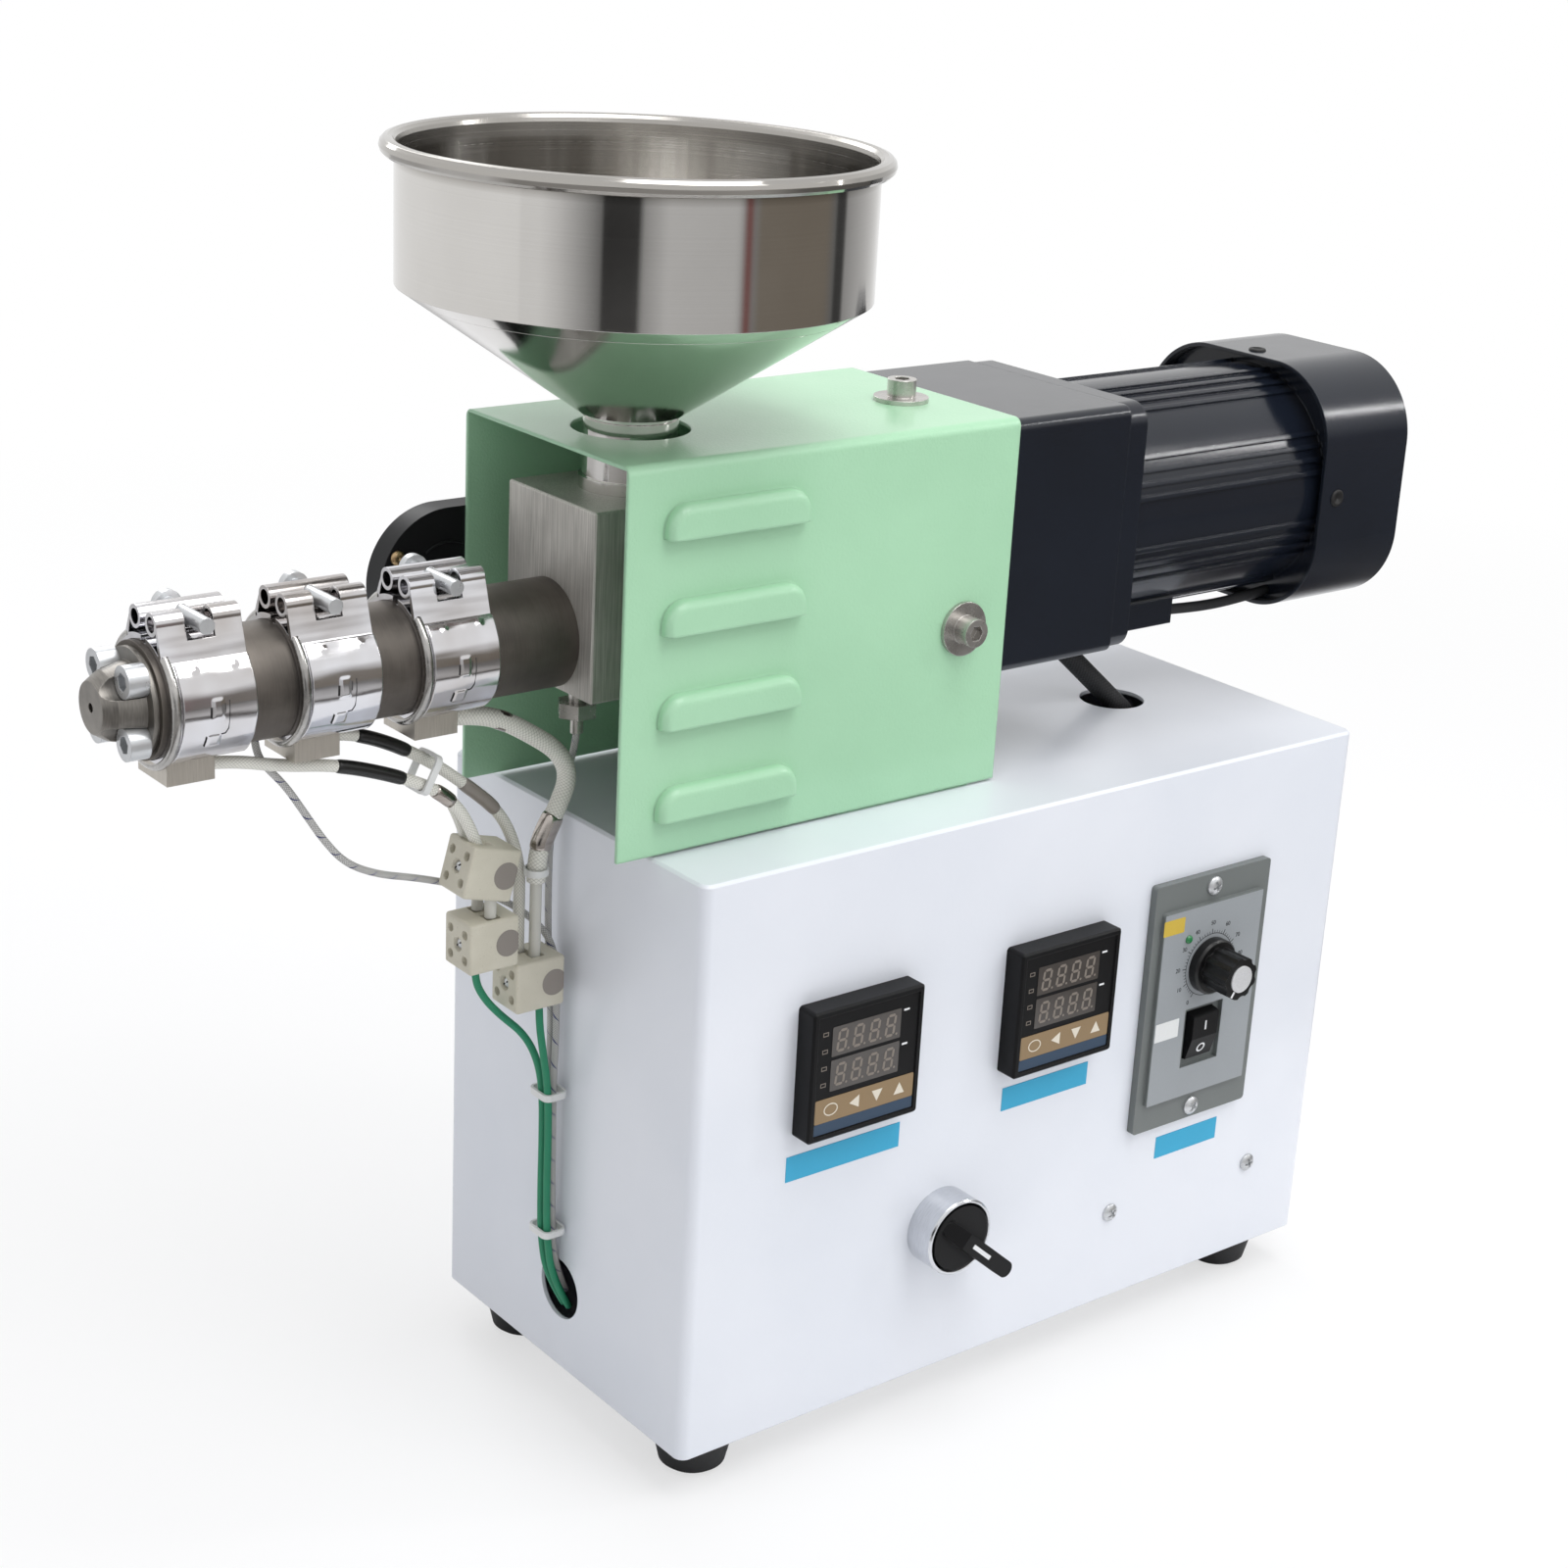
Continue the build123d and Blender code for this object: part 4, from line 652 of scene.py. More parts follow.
def smooth_line(route):
    """The middle line of a lead: a spline with the route's points as its control points."""
    curve = bpy.data.curves.new("line", "CURVE")
    curve.dimensions = "3D"
    curve.resolution_u = 10
    spline = curve.splines.new("NURBS")
    spline.points.add(len(route) - 1)
    spline.points.foreach_set("co", np.column_stack([from_cabinet(route), np.ones(len(route))]).ravel())
    spline.order_u = 3
    spline.use_endpoint_u = True
    return curve_mesh(curve)[0]


def distances(line):
    """Millimetres along a line at each of its points."""
    return np.concatenate([[0], np.cumsum(np.linalg.norm(np.diff(line, axis=0), axis=1))]) / MM


def carried_frames(line):
    """Two directions across a line at each point, carried along with the least twist."""
    ahead = np.gradient(line, axis=0)
    ahead /= np.linalg.norm(ahead, axis=1)[:, None]
    first = [square_to(ahead[0])[0]]
    for direction in ahead[1:]:
        kept = first[-1] - direction * (first[-1] @ direction)
        first.append(kept / np.linalg.norm(kept))
    return np.array(first), np.cross(ahead, first)


def hose(line, width, sides=20, flat=1.0, swell=1.0):
    """A round or flattened tube: each point of the line gets a ring of the width in millimetres
    times its swell, and flat is its thickness over its width. The chart is once round, and
    millimetres along."""
    first, second = carried_frames(line)
    angle = angles_round(sides)[None, :, None]
    half = np.broadcast_to(width / 2 * MM * np.asarray(swell), len(line))[:, None, None]
    ring = np.cos(angle) * first[:, None, :] + flat * np.sin(angle) * second[:, None, :]
    surface = skin(line[:, None, :] + half * ring)
    along = distances(line)
    turn = np.linspace(0, 1, sides + 1)
    low, high, start, stop = np.broadcast_arrays(along[:-1, None], along[1:, None], turn[:-1], turn[1:])
    chart = np.stack([start, low, stop, low, stop, high, start, high], axis=-1).reshape(-1, 2)
    caps = np.column_stack([np.tile(turn[:-1], 2), np.repeat([along[0], along[-1]], sides)])
    return surface, np.concatenate([chart, caps])


def add_hose(name, line, width, finish, slot, **shape):
    """A piece that is one tube along a line."""
    surface, chart = hose(line, width, **shape)
    return add_piece(name, [(surface, finish)], chart=chart)


def stretch_of(line, start, end):
    """The part of a line between two distances along it in millimetres, in short even steps."""
    steps = np.linspace(start, end, max(3, int(end - start) + 2))
    return np.column_stack([np.interp(steps, distances(line), line[:, i]) for i in range(3)])


# Each lead's width, its braid, and the control points of its middle line, in millimetres
ROUTES = {
    "heater_lead_1": (4.0, glass_braid, [
        (-287.8, -2, 271), (-277.8, -2, 270), (-262, -2, 265.5), (-243, -2, 262.5), (-224, -2, 256),
        (-207, -2, 248), (-195.5, -2, 237), (-191, -2, 224.4)]),
    "heater_lead_2": (4.0, glass_braid, [
        (-245.8, 3, 271), (-236.8, 3, 270.5), (-222, 3, 265), (-206, 3, 255.5), (-192, 3.2, 244.5),
        (-178, 3.6, 232), (-170.5, 4.2, 214), (-170.5, 4.2, 197), (-171, 3.4, 180.6)]),
    "heater_lead_3": (6.4, glass_braid, [
        (-203.8, 0, 271), (-195.8, 0, 270.5), (-183.8, -0.5, 267.7), (-173, -1, 261.5), (-160, -2, 252.5),
        (-155.8, -2, 243), (-160, -2, 233), (-165.8, -2, 223), (-167.8, -2, 215.5), (-168, -2, 208)]),
    "barrel_probe_lead": (2.4, probe_braid, [
        (-268.9, 2, 276.5), (-268.4, 2, 270.5), (-265.5, 2, 265), (-258, 3, 257), (-251, 4, 246.5),
        (-243.5, 5, 235), (-235, 6, 225), (-222, 8, 218), (-207, 10.5, 213), (-192, 11, 207.5),
        (-178, 11, 201), (-165, 9.5, 192.5), (-157, 3.5, 182.5), (-156.3, 1.6, 167.5), (-156.2, 1.2, 149.5),
        (-157, 1.2, 127.5), (-156.5, 1.2, 103.5), (-156.2, 1.2, 78), (-155.2, 1.2, 59), (-149.5, 1.2, 45.5)]),
    "block_probe_lead": (2.4, probe_braid, [
        (-152, 0, 257), (-152, 1, 250), (-153.5, 4, 240.5), (-156.5, 6, 228.5), (-157, 7, 212.5),
        (-156.8, 7.2, 196.5), (-156.6, 7, 180.5), (-156.3, 5.5, 163.5), (-156.2, 4.6, 147.5),
        (-157, 4.2, 127.5), (-156.5, 4.2, 103.5), (-156.2, 4.2, 78), (-155.2, 4.2, 59), (-149.5, 4.2, 45.5)]),
    "supply_lead_1": (2.6, green_braid, [
        (-190, 0, 183), (-190, 0.5, 176.5), (-185.5, 1.5, 168), (-178, 2.5, 159.5), (-168.5, 3, 150.5),
        (-163, 2.5, 140), (-160.9, 1.8, 127.5), (-160.6, 1.8, 106.5), (-160.7, 1.8, 86.5), (-160.2, 1.8, 70),
        (-157.5, 1.5, 54), (-150, 1.5, 40.5)]),
    "supply_lead_2": (2.6, green_braid, [
        (-166, -2.5, 164.6), (-166, -2.6, 156.6), (-164, -2.5, 144.5), (-161.2, -2, 129.5),
        (-160.6, -1.8, 111.5), (-160.7, -1.8, 91.5), (-160.2, -1.8, 72), (-157.5, -1.8, 54), (-150, -1.8, 40.5)]),
    "fan_lead": (4.0, black_braid, [
        (98.5, -20, 268.9), (112, -20.3, 267.9), (127, -20.5, 267.4), (142.5, -20.3, 267.9), (156.5, -20, 268.9)]),
    "motor_lead": (8.0, black_braid, [(61, 15, 265.5), (102, -3, 223)]),
}
BRAID_SLOTS = {glass_braid: "glass_sleeve", probe_braid: "steel_braid", green_braid: "green_wire",
               black_braid: "black_plastic"}

lines = {}
for name, (width, finish, route) in ROUTES.items():
    lines[name] = smooth_line(route)
    add_hose("woven_" + name, lines[name], width, finish, BRAID_SLOTS[finish])
    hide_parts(name)

# Shrink sleeves, ferrules and a clip on the heater leads: the lead, the axis along which their ends
# are given, the ends, the width, its thickness over its width, and the finish
COLLARS = {
    "black_shrink_1": ("heater_lead_1", 0, -243.0, -219.0, 4.6, 1.0, shrink_black, "black_plastic"),
    "ferrule_1": ("heater_lead_1", 0, -207.5, -201.0, 5.0, 0.9, ferrule_steel, "zinc_screw"),
    "black_shrink_2": ("heater_lead_2", 0, -233.0, -214.5, 4.6, 1.0, shrink_black, "black_plastic"),
    "grey_shrink_2": ("heater_lead_2", 0, -194.0, -181.0, 4.7, 1.0, mica_grey, "glass_sleeve"),
    "ferrule_3": ("heater_lead_3", 0, -184.5, -179.0, 6.8, 0.9, ferrule_steel, "zinc_screw"),
    "clip_3": ("heater_lead_3", 2, 230.4, 219.0, 8.0, 0.86, ferrule_steel, "zinc_screw"),
}
COLLAR_TAPER = 0.12
TAPER_STEPS = 0.8
riders = {name: [] for name in ROUTES}
for name, (lead, axis, start, end, width, flat, finish, slot) in COLLARS.items():
    line = lines[lead]
    searched = slice(0 if axis == 0 else len(line) // 2, None)
    held = ((line[:, axis] - CABINET_MIDDLE[axis]) / MM)[searched]
    order = np.argsort(held)
    ends = np.interp([start, end], held[order], distances(line)[searched][order])
    path = stretch_of(line, min(ends), max(ends))
    steps_in = np.linspace(0, len(path), len(path))
    taper = COLLAR_TAPER * (np.exp(-steps_in / TAPER_STEPS) + np.exp(-steps_in[::-1] / TAPER_STEPS))
    riders[lead].append(add_hose(name, path, width, finish, slot, sides=24, flat=flat, swell=1 - taper))


# ---------------------------------------------------------------- ceramic terminals

def block_grid(halves, corner, step, pits):
    """A block as six grids over a box. A point p of the box goes to q + corner * unit(p - q), where q is
    p held within the halves less the corner, so edges and corners are round. Then each pit presses the
    points of one side in: its depth times a smooth step of how far inside its outline they are."""
    halves = np.asarray(halves, float)
    points = []
    faces = []
    count = 0
    for axis in range(3):
        for side in (-1, 1):
            u_axis, v_axis = (axis + 1) % 3, (axis + 2) % 3
            u, v = (np.linspace(-halves[i], halves[i], int(2 * halves[i] / step)) for i in (u_axis, v_axis))
            grid = np.empty((len(v), len(u), 3))
            grid[..., u_axis], grid[..., v_axis] = np.meshgrid(u, v)
            grid[..., axis] = side * halves[axis]
            core = np.clip(grid, corner - halves, halves - corner)
            away = grid - core
            grid = core + corner * away / np.linalg.norm(away, axis=-1, keepdims=True)
            for pit_axis, pit_side, square, (pit_u, pit_v), size, depth in pits:
                if (pit_axis, pit_side) == (axis, side):
                    across, upward = abs(grid[..., u_axis] - pit_u), abs(grid[..., v_axis] - pit_v)
                    reach = np.maximum(across, upward) if square else np.hypot(across, upward)
                    inside = np.clip((size - reach) / (1.2 * step) + 0.5, 0, 1)
                    grid[..., axis] -= side * depth * inside ** 2 * (3 - 2 * inside)
            side_points, side_faces = skin(grid if side > 0 else grid[:, ::-1], closed=False, ends=False)
            faces += [[count + i for i in face] for face in side_faces]
            points.append(side_points)
            count += len(side_points)
    return weld(np.concatenate(points), faces)


def leaned(points, middle, degrees):
    """Points of a block, turned clockwise as seen from the panel's side and set at its middle."""
    points = np.array(points, float)
    points[..., [0, 2]] = rotated(points[..., [0, 2]], -degrees) + middle
    return from_cabinet(points)


# Millimetres from the middle of a block. A pit is the axis and the sign of its side, whether it is
# square, its place on that side, its half width and its depth
BLOCK_HALVES = (9.5, 8.0, 9.0)
BLOCK_CORNER = 1.1
GRID_STEP = 0.34
SCREW_SEAT = 1.4
FRONT_PITS = [(0, -1, False, (y, z), 1.35, 2.6) for y in (-4.4, 4.4) for z in (-4.6, 4.6)]
FRONT_PITS.append((0, -1, False, (0.0, 0.0), 2.3, SCREW_SEAT))
WIRE_HOLE = (2.3, 2.2)
SCREW_PROFILE = np.array([(0.05, 0.9), (0.9, 0.8), (1.6, 0.5), (1.9, 0.0), (1.9, -0.4), (0.05, -0.4)])
SCREW_SIDES = 24
SLOT_OUTLINE = rotated(oblong(-1.7, 1.7, -0.28, 0.28), math.degrees(math.atan2(3, 4)))
PLUG_RADIUS = 4.7
PLUG_MIDDLE = 5.2
PLUG_LIMIT = 9.1
PLUG_RIM = (35, 325)
PLUG_DEPTHS = (-7.9, -8.08)
SLOT_DEPTHS = (0.2, 0.86)
# The middle, the lean in degrees, and the wire holes above and below
BLOCKS = (((-188.6, 216.4), 15, ((-2.4, -2.0), (-2.4, 4.2)), ((0.5, -4.0), (0.5, 4.0))),
          ((-187.5, 191.0), 0, ((0.5, -4.0), (0.5, 4.0)), ((-2.5, 0.0), (-2.5, 5.0))),
          ((-169.0, 172.6), 0, ((-2.0, 3.4), (1.0, -2.0)), ((3.0, -2.5), (-3.0, 3.5))))

seat = SCREW_SEAT - BLOCK_HALVES[0]
angle = angles_round(SCREW_SIDES)
screw_grid = np.stack([np.broadcast_to(seat - SCREW_PROFILE[:, 1:], (len(SCREW_PROFILE), SCREW_SIDES)),
                       SCREW_PROFILE[:, :1] * np.cos(angle), SCREW_PROFILE[:, :1] * np.sin(angle)], axis=-1)
# Each screw's slot is a dark piece set in its head: painted shade for the recess.
slot_grid = np.stack([np.column_stack([np.full(4, seat - depth), -SLOT_OUTLINE[:, 0], SLOT_OUTLINE[:, 1]])
                      for depth in SLOT_DEPTHS])
rim = np.radians(np.linspace(*PLUG_RIM, 40))
plug = np.column_stack([np.minimum(PLUG_MIDDLE + PLUG_RADIUS * np.cos(rim), PLUG_LIMIT), PLUG_RADIUS * np.sin(rim)])
plug_grid = np.stack([standing(plug, depth) for depth in PLUG_DEPTHS])
block_parts = []
for middle, lean, above, below in BLOCKS:
    pits = FRONT_PITS + [(2, side, True, place, *WIRE_HOLE)
                         for side, places in ((1, above), (-1, below)) for place in places]
    for (points, faces), finish in ((block_grid(BLOCK_HALVES, BLOCK_CORNER, GRID_STEP, pits), clay),
                                    (skin(screw_grid), zinc_plate), (skin(slot_grid), black_and_recess_shade),
                                    (skin(plug_grid), mica_grey)):
        block_parts.append(((leaned(points, middle, lean), faces), finish))
terminal_blocks = crisp(add_piece("terminal_blocks", block_parts), 40)
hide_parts("ceramic_terminals")

# The second sleeve of the first lead, from where it splits to the upper block
BRANCH_WIDTH = 2.9
BRANCH = [(-201.5, -0.5, 242.6), (-198.5, 1.5, 238.8), (-194.5, 3.4, 231.5), (-191.5, 4.2, 224.2)]
branch = add_hose("split_sleeve", smooth_line(BRANCH), BRANCH_WIDTH, glass_braid, "glass_sleeve")

riders["heater_lead_1"] += [terminal_blocks, branch, nodes["lead_links"], nodes["lead_ties"]]
for name, (width, _, _) in ROUTES.items():
    line = lines[name]


# ---------------------------------------------------------------- heater bands

# Millimetres: x from a band's left end, and angles in degrees below the front of the barrel
BAND_LEFTS = (-306.0, -264.0, -222.0)
WRAP_START = 3.35
WRAP_LENGTH = 23.7
WRAP_RADIUS = 20.45
WRAP_SHEET = 0.4
WRAP_ROWS, WRAP_COLUMNS = 100, 62
FRONT_WRAP = (-43.5, 59)
BACK_WRAP = (121, 238)
DIMPLES_X = (9.0, 21.6)
DIMPLES_DEGREES = -37
CREASE_DEGREES = -38
TONGUES = (((12.7, 15.8), (-10, 7)), ((11.7, 15.5), (22, 34)))
TONGUE_HEIGHT = 0.3
TONGUE_SLOPES = (0.7, 2.5)
DIMPLE_HEIGHT = 0.26
CREASE_HEIGHT = 0.05
# The steps of the wrap's lower edge: the share of its length where each is, and its size in degrees
EDGE_STEPS = ((0.24, 4), (0.62, 3))
STEP_WIDTH = 0.05
BEAD_RADIUS = 20.0
BEAD_THICKNESS = 1.5
BEAD_X = 1.3
BEAD_SPAN = (-51, 245)
# The width of each cut of the lock, a dark piece of painted shade, and the places x and degrees that it runs through
LOCK_CUTS = [(0.75, [(12.15, -4), (12.1, 0), (12.05, 5)]),
             (0.42, [(18.0, -8), (18.0, 4), (17.9, 17), (17.1, 21.5), (15.8, 22)]),
             (0.32, [(16.6, -6), (16.6, -2), (16.5, 2)]),
             (0.75, [(11.15, 23), (11.1, 28), (11.0, 33)])]
CUT_LIFT = 0.02
CUT_SIDES = 8
CUT_FLATNESS = 0.6


def on_barrel(x, radius, degrees):
    """The point at a station, a radius and an angle below the front: y = -r cos a, z = axis - r sin a."""
    turn = np.radians(degrees)
    return from_cabinet(np.stack([x, -radius * np.cos(turn), AXIS_Z - radius * np.sin(turn)], axis=-1))


def step_up(value, edge, width):
    """0 before an edge, 1 after it, and smooth across the width between."""
    t = np.clip((value - edge) / width + 0.5, 0, 1)
    return t * t * (3 - 2 * t)


def plateau(value, low, high, width):
    """1 between two edges and 0 outside them, smooth across the width."""
    return step_up(value, low, width) * (1 - step_up(value, high, width))


def pressed(x, degrees, phase):
    """How far the wrap stands out at a station and an angle: slow waves along it, a crease under the
    clamp, two dimples, and the two tongues of its lock."""
    waves = 0.045 * np.sin(degrees / 6.5 + 0.11 * x + phase) + 0.05 * np.sin(degrees / 11 - 0.16 * x + 2 * phase)
    crease = CREASE_HEIGHT * np.sin(0.5 * x + phase) * np.exp(-((degrees - CREASE_DEGREES) / 5.5) ** 2)
    dimples = sum(DIMPLE_HEIGHT * np.exp(-((x - place) ** 2 + (0.35 * (degrees - DIMPLES_DEGREES)) ** 2) / 0.9)
                  for place in DIMPLES_X)
    tongues = sum(TONGUE_HEIGHT * plateau(x, *across, TONGUE_SLOPES[0]) * plateau(degrees, *downward, TONGUE_SLOPES[1])
                  for across, downward in TONGUES)
    return waves + crease + dimples + tongues


def wrap_shell(left, span, relief, phase):
    """Part of the outer sheet, from a high angle to a low one: it lies at the wrap's radius plus what
    is pressed into it. Its lower edge steps along x, and its right edge wanders."""
    high, low = span
    u = np.linspace(0, 1, WRAP_COLUMNS)[None, :]
    v = np.linspace(0, 1, WRAP_ROWS)[:, None]
    edge = low + 0 * u
    if relief:
        (first, rise), (second, drop) = EDGE_STEPS
        edge = low - rise * step_up(u, first, STEP_WIDTH) + drop * step_up(u, second, STEP_WIDTH)
    degrees = high + (edge - high) * v
    wander = 0.12 * np.sin(degrees / 9 + phase) + 0.05 * np.sin(degrees / 3.7)
    x = WRAP_START + (WRAP_LENGTH + wander) * u
    radius = WRAP_RADIUS + (pressed(x, degrees, phase) if relief else 0.05 * np.sin(degrees / 9 + x / 5))
    outer = on_barrel(left + x, radius, degrees)
    inner = on_barrel(left + x, radius - WRAP_SHEET, degrees)
    return skin(np.concatenate([outer[:, ::-1], inner], axis=1))


def bead_ring(left):
    """The rolled bead: a small circle carried round the barrel's axis, open at the clamp."""
    degrees = np.linspace(*BEAD_SPAN, 150)[:, None]
    section = angles_round(16)
    radius = BEAD_RADIUS + BEAD_THICKNESS * np.cos(section)
    x = left + BEAD_X - BEAD_THICKNESS * np.sin(section) + 0 * degrees
    return skin(on_barrel(x, radius, degrees))


for number, left in enumerate(BAND_LEFTS, start=1):
    phase = 1.7 * number
    front_wrap = wrap_shell(left, FRONT_WRAP, True, phase)
    back_wrap = wrap_shell(left, BACK_WRAP, False, phase)
    add_piece(f"wrap_{number}", [(front_wrap, wrap_chrome), (back_wrap, wrap_chrome)])
    add_piece(f"bead_ring_{number}", [(bead_ring(left), bead_steel)])
    cuts = []
    # Painted shade: each cut is a dark tube laid on the sheet.
    for width, trace in LOCK_CUTS:
        x, degrees = np.array(trace, float).T
        spots = on_barrel(left + x, WRAP_RADIUS + pressed(x, degrees, phase) + CUT_LIFT, degrees)
        cuts.append((hose(spots, width, CUT_SIDES, CUT_FLATNESS)[0], black_and_recess_shade))
    add_piece(f"lock_cuts_{number}", cuts)


# ---------------------------------------------------------------- faces of the temperature controllers

DIGIT_WIDTH = 4.3
DIGIT_HEIGHT = 8.2
STROKE = 0.95
SLANT = 0.12
FIRST_DIGIT = -11.3
DIGIT_PITCH = 6.95
BAR_GAP = 0.18
POINT_AWAY = 1.0
POINT_RADIUS = 0.45
# The depth of the face and the thickness of what lies on the glass
WINDOW_LAYER = (METER_GLASS - 0.12, 0.1)
DIGIT_LAYER = (METER_GLASS - 0.16, 0.05)
STRIP_LAYER = (METER_GLASS - 0.15, 0.13)
KEY_LAYER = (METER_GLASS - 0.2, 0.06)
MARK_LAYER = (METER_GLASS - 0.06, 0.05)
# Millimetres from the middle of a face, as x_low, x_high, z_low, z_high
WINDOWS = ((-15.6, 14.0, 6.5, 17.3), (-15.6, 14.0, -6.2, 5.2))
KEY_STRIP = (-21.4, 21.4, -17.2, -8.4)
FOOT_STRIP = (-21.4, 21.4, -21.4, -17.3)
KEYS_Z = -12.8
ROUND_KEY_X = -14.6
ROUND_KEY_INNER = (2.6, 1.9)
ROUND_KEY_OUTER = (3.0, 2.3)
# The place of each arrow key along the strip, and the turn of its arrow
ARROW_KEYS = ((-4.4, 90), (5.4, 180), (15.2, 0))
ARROW = ((-2.3, -2.0), (2.3, -2.0), (0.0, 2.2))
LAMP_FRAMES_Z = (15.4, 9.1, 2.9, -3.2)
UNIT_MARKS_Z = (15.9, 3.2)
# Outer and inner outlines of a lamp's frame, from its middle
LAMP_OUTER = (-19.6, -17.3, -0.75, 0.75)
LAMP_INNER = (-19.32, -17.58, -0.47, 0.47)
UNIT_MARK = (15.2, 17.6, 0.0, 0.7)


def digit(x, z):
    """The seven bars and the point of a lamp digit, leaned over by a share of its height."""
    half = DIGIT_HEIGHT / 2
    reach = DIGIT_WIDTH / 2
    tip = STROKE / 2
    inner = reach - tip - BAR_GAP
    outlines = []
    for level in (-half + tip, 0.0, half - tip):
        outlines.append([(-inner + tip, level - tip), (inner - tip, level - tip), (inner, level),
                         (inner - tip, level + tip), (-inner + tip, level + tip), (-inner, level)])
    for side in (-reach + tip, reach - tip):
        for low, high in ((-half + tip + BAR_GAP, -BAR_GAP), (BAR_GAP, half - tip - BAR_GAP)):
            outlines.append([(side, low), (side + tip, low + tip), (side + tip, high - tip), (side, high),
                             (side - tip, high - tip), (side - tip, low + tip)])
    outlines.append(disc(reach + POINT_AWAY, -half + tip, POINT_RADIUS, 8))
    return [np.asarray(outline) @ [[1, 0], [SLANT, 1]] + [x, z] for outline in outlines]


face_parts = {"meter_windows": [], "meter_digits": [], "meter_key_strips": [], "meter_foot_strips": [],
              "meter_marks": []}
for middle in METER_MIDDLES:
    for window in WINDOWS:
        face_parts["meter_windows"].append(plate(middle, window, *WINDOW_LAYER, smoked, 0.4))
        level = middle[1] + (window[2] + window[3]) / 2
        for place in range(4):
            for outline in digit(middle[0] + FIRST_DIGIT + DIGIT_PITCH * place, level):
                face_parts["meter_digits"].append((prism(outline, *DIGIT_LAYER), lamp_grey))
    face_parts["meter_key_strips"].append(plate(middle, KEY_STRIP, *STRIP_LAYER, tan_film, 0.5))
    face_parts["meter_foot_strips"].append(plate(middle, FOOT_STRIP, *WINDOW_LAYER, navy_film, 0.3))
    marks = face_parts["meter_marks"]
    for x, turn in ARROW_KEYS:
        arrow = rotated(ARROW, turn) + middle + [x, KEYS_Z]
        marks.append((prism(arrow, *KEY_LAYER), key_ink))
    centre = np.add(middle, (ROUND_KEY_X, KEYS_Z))
    inner, outer = (disc(0, 0, 1, 28) * reach + centre for reach in (ROUND_KEY_INNER, ROUND_KEY_OUTER))
    marks.append((band(inner, outer, *KEY_LAYER), key_ink))
    for z in LAMP_FRAMES_Z:
        inner, outer = (oblong(*box) + [0, z] + middle for box in (LAMP_INNER, LAMP_OUTER))
        marks.append((band(inner, outer, *MARK_LAYER), lamp_grey))
    for z in UNIT_MARKS_Z:
        marks.append(plate(np.add(middle, (0, z)), UNIT_MARK, *MARK_LAYER, white_ink))
for name, parts in face_parts.items():
    add_piece(name, parts, smooth=False)


# ---------------------------------------------------------------- face of the speed controller

FILM = 0.12
FILM_FACE = DRIVE_FACE - FILM
SHAFT_ROOM = 4.2
DIAL_STEPS = 50
STEPS_PER_NUMBER = 5
DIAL_START = 235
DIAL_SWEEP = 290
DIAL_RADIUS = 12.4
NUMBERS_RADIUS = 16.6
NUMBER_HEIGHT = 1.7
SIDE_POINTS = 14
# Where a tick ends, and half its width
NUMBERED_TICK = (14.2, 0.16)
PLAIN_TICK = (13.4, 0.1)
PRINT_LAYER = (FILM_FACE - 0.03, 0.04)
NUMBER_FACE = FILM_FACE - 0.02
DIAL_LINE = 0.25
# The film in two parts, and the room it leaves round the rocker
UPPER_FILM = (54.8, 106.2, 136.0, 174.6)
LOWER_FILM = (54.8, 106.2, 97.4, 136.0)
ROCKER_ROOM = (70.5, 90.5, 109.5, 133.5)
# The box of each sticker, its thickness, its finish and the radius of its corners
STICKERS = (((54.2, 65.0, 166.3, 172.4), 0.06, yellow_film, 0.4), ((55.2, 67.4, 123.6, 131.0), 0.12, white_film, 0.3))
LAMP_MIDDLE = (68.0, DRIVE_FACE, 162.7)
LAMP_DOME = [(1.7, 0.0), (1.65, 0.35), (1.4, 0.8), (0.9, 1.15), (0.3, 1.3)]


def four_sides(x_low, x_high, z_low, z_high):
    """The outline of a rectangle, with points along its sides as well."""
    share = np.linspace(0, 1, SIDE_POINTS, endpoint=False)[:, None]
    corners = oblong(x_low, x_high, z_low, z_high)
    return np.concatenate([corner + (following - corner) * share
                           for corner, following in zip(corners, np.roll(corners, -1, axis=0))])


upper_film = four_sides(*UPPER_FILM)
toward_edge = upper_film - KNOB
shaft_room = KNOB + SHAFT_ROOM * toward_edge / np.linalg.norm(toward_edge, axis=1)[:, None]
lower_film = four_sides(*LOWER_FILM)
rocker_room = four_sides(*ROCKER_ROOM)
add_piece("drive_face_film", [(band(shaft_room, upper_film, FILM_FACE, FILM), drive_film),
                              (band(rocker_room, lower_film, FILM_FACE, FILM), drive_film)],
          smooth=False)
dial_parts = []
for step in range(DIAL_STEPS + 1):
    degrees = DIAL_START - DIAL_SWEEP * step / DIAL_STEPS
    numbered = step % STEPS_PER_NUMBER == 0
    end, half = NUMBERED_TICK if numbered else PLAIN_TICK
    dial_parts.append((prism(bar(KNOB, degrees, DIAL_RADIUS, end, half), *PRINT_LAYER), black_ink))
    if numbered:
        spot = rotated((NUMBERS_RADIUS, 0.0), degrees) + KNOB
        dial_parts.append((lettering(str(2 * step), NUMBER_HEIGHT, *spot, NUMBER_FACE), black_ink))
dial_ring = band(disc(*KNOB, DIAL_RADIUS - DIAL_LINE, 72), disc(*KNOB, DIAL_RADIUS, 72), *PRINT_LAYER)
dial_parts.append((dial_ring, black_ink))
add_piece("dial_print", dial_parts, smooth=False)
stickers = [plate((0, 0), box, FILM_FACE - thickness, thickness, finish, corner)
            for box, thickness, finish, corner in STICKERS]
add_piece("drive_stickers", stickers, smooth=False)
add_piece("drive_lamp", [(spin(LAMP_DOME, LAMP_MIDDLE, OUTWARD, 24), green_lens)])


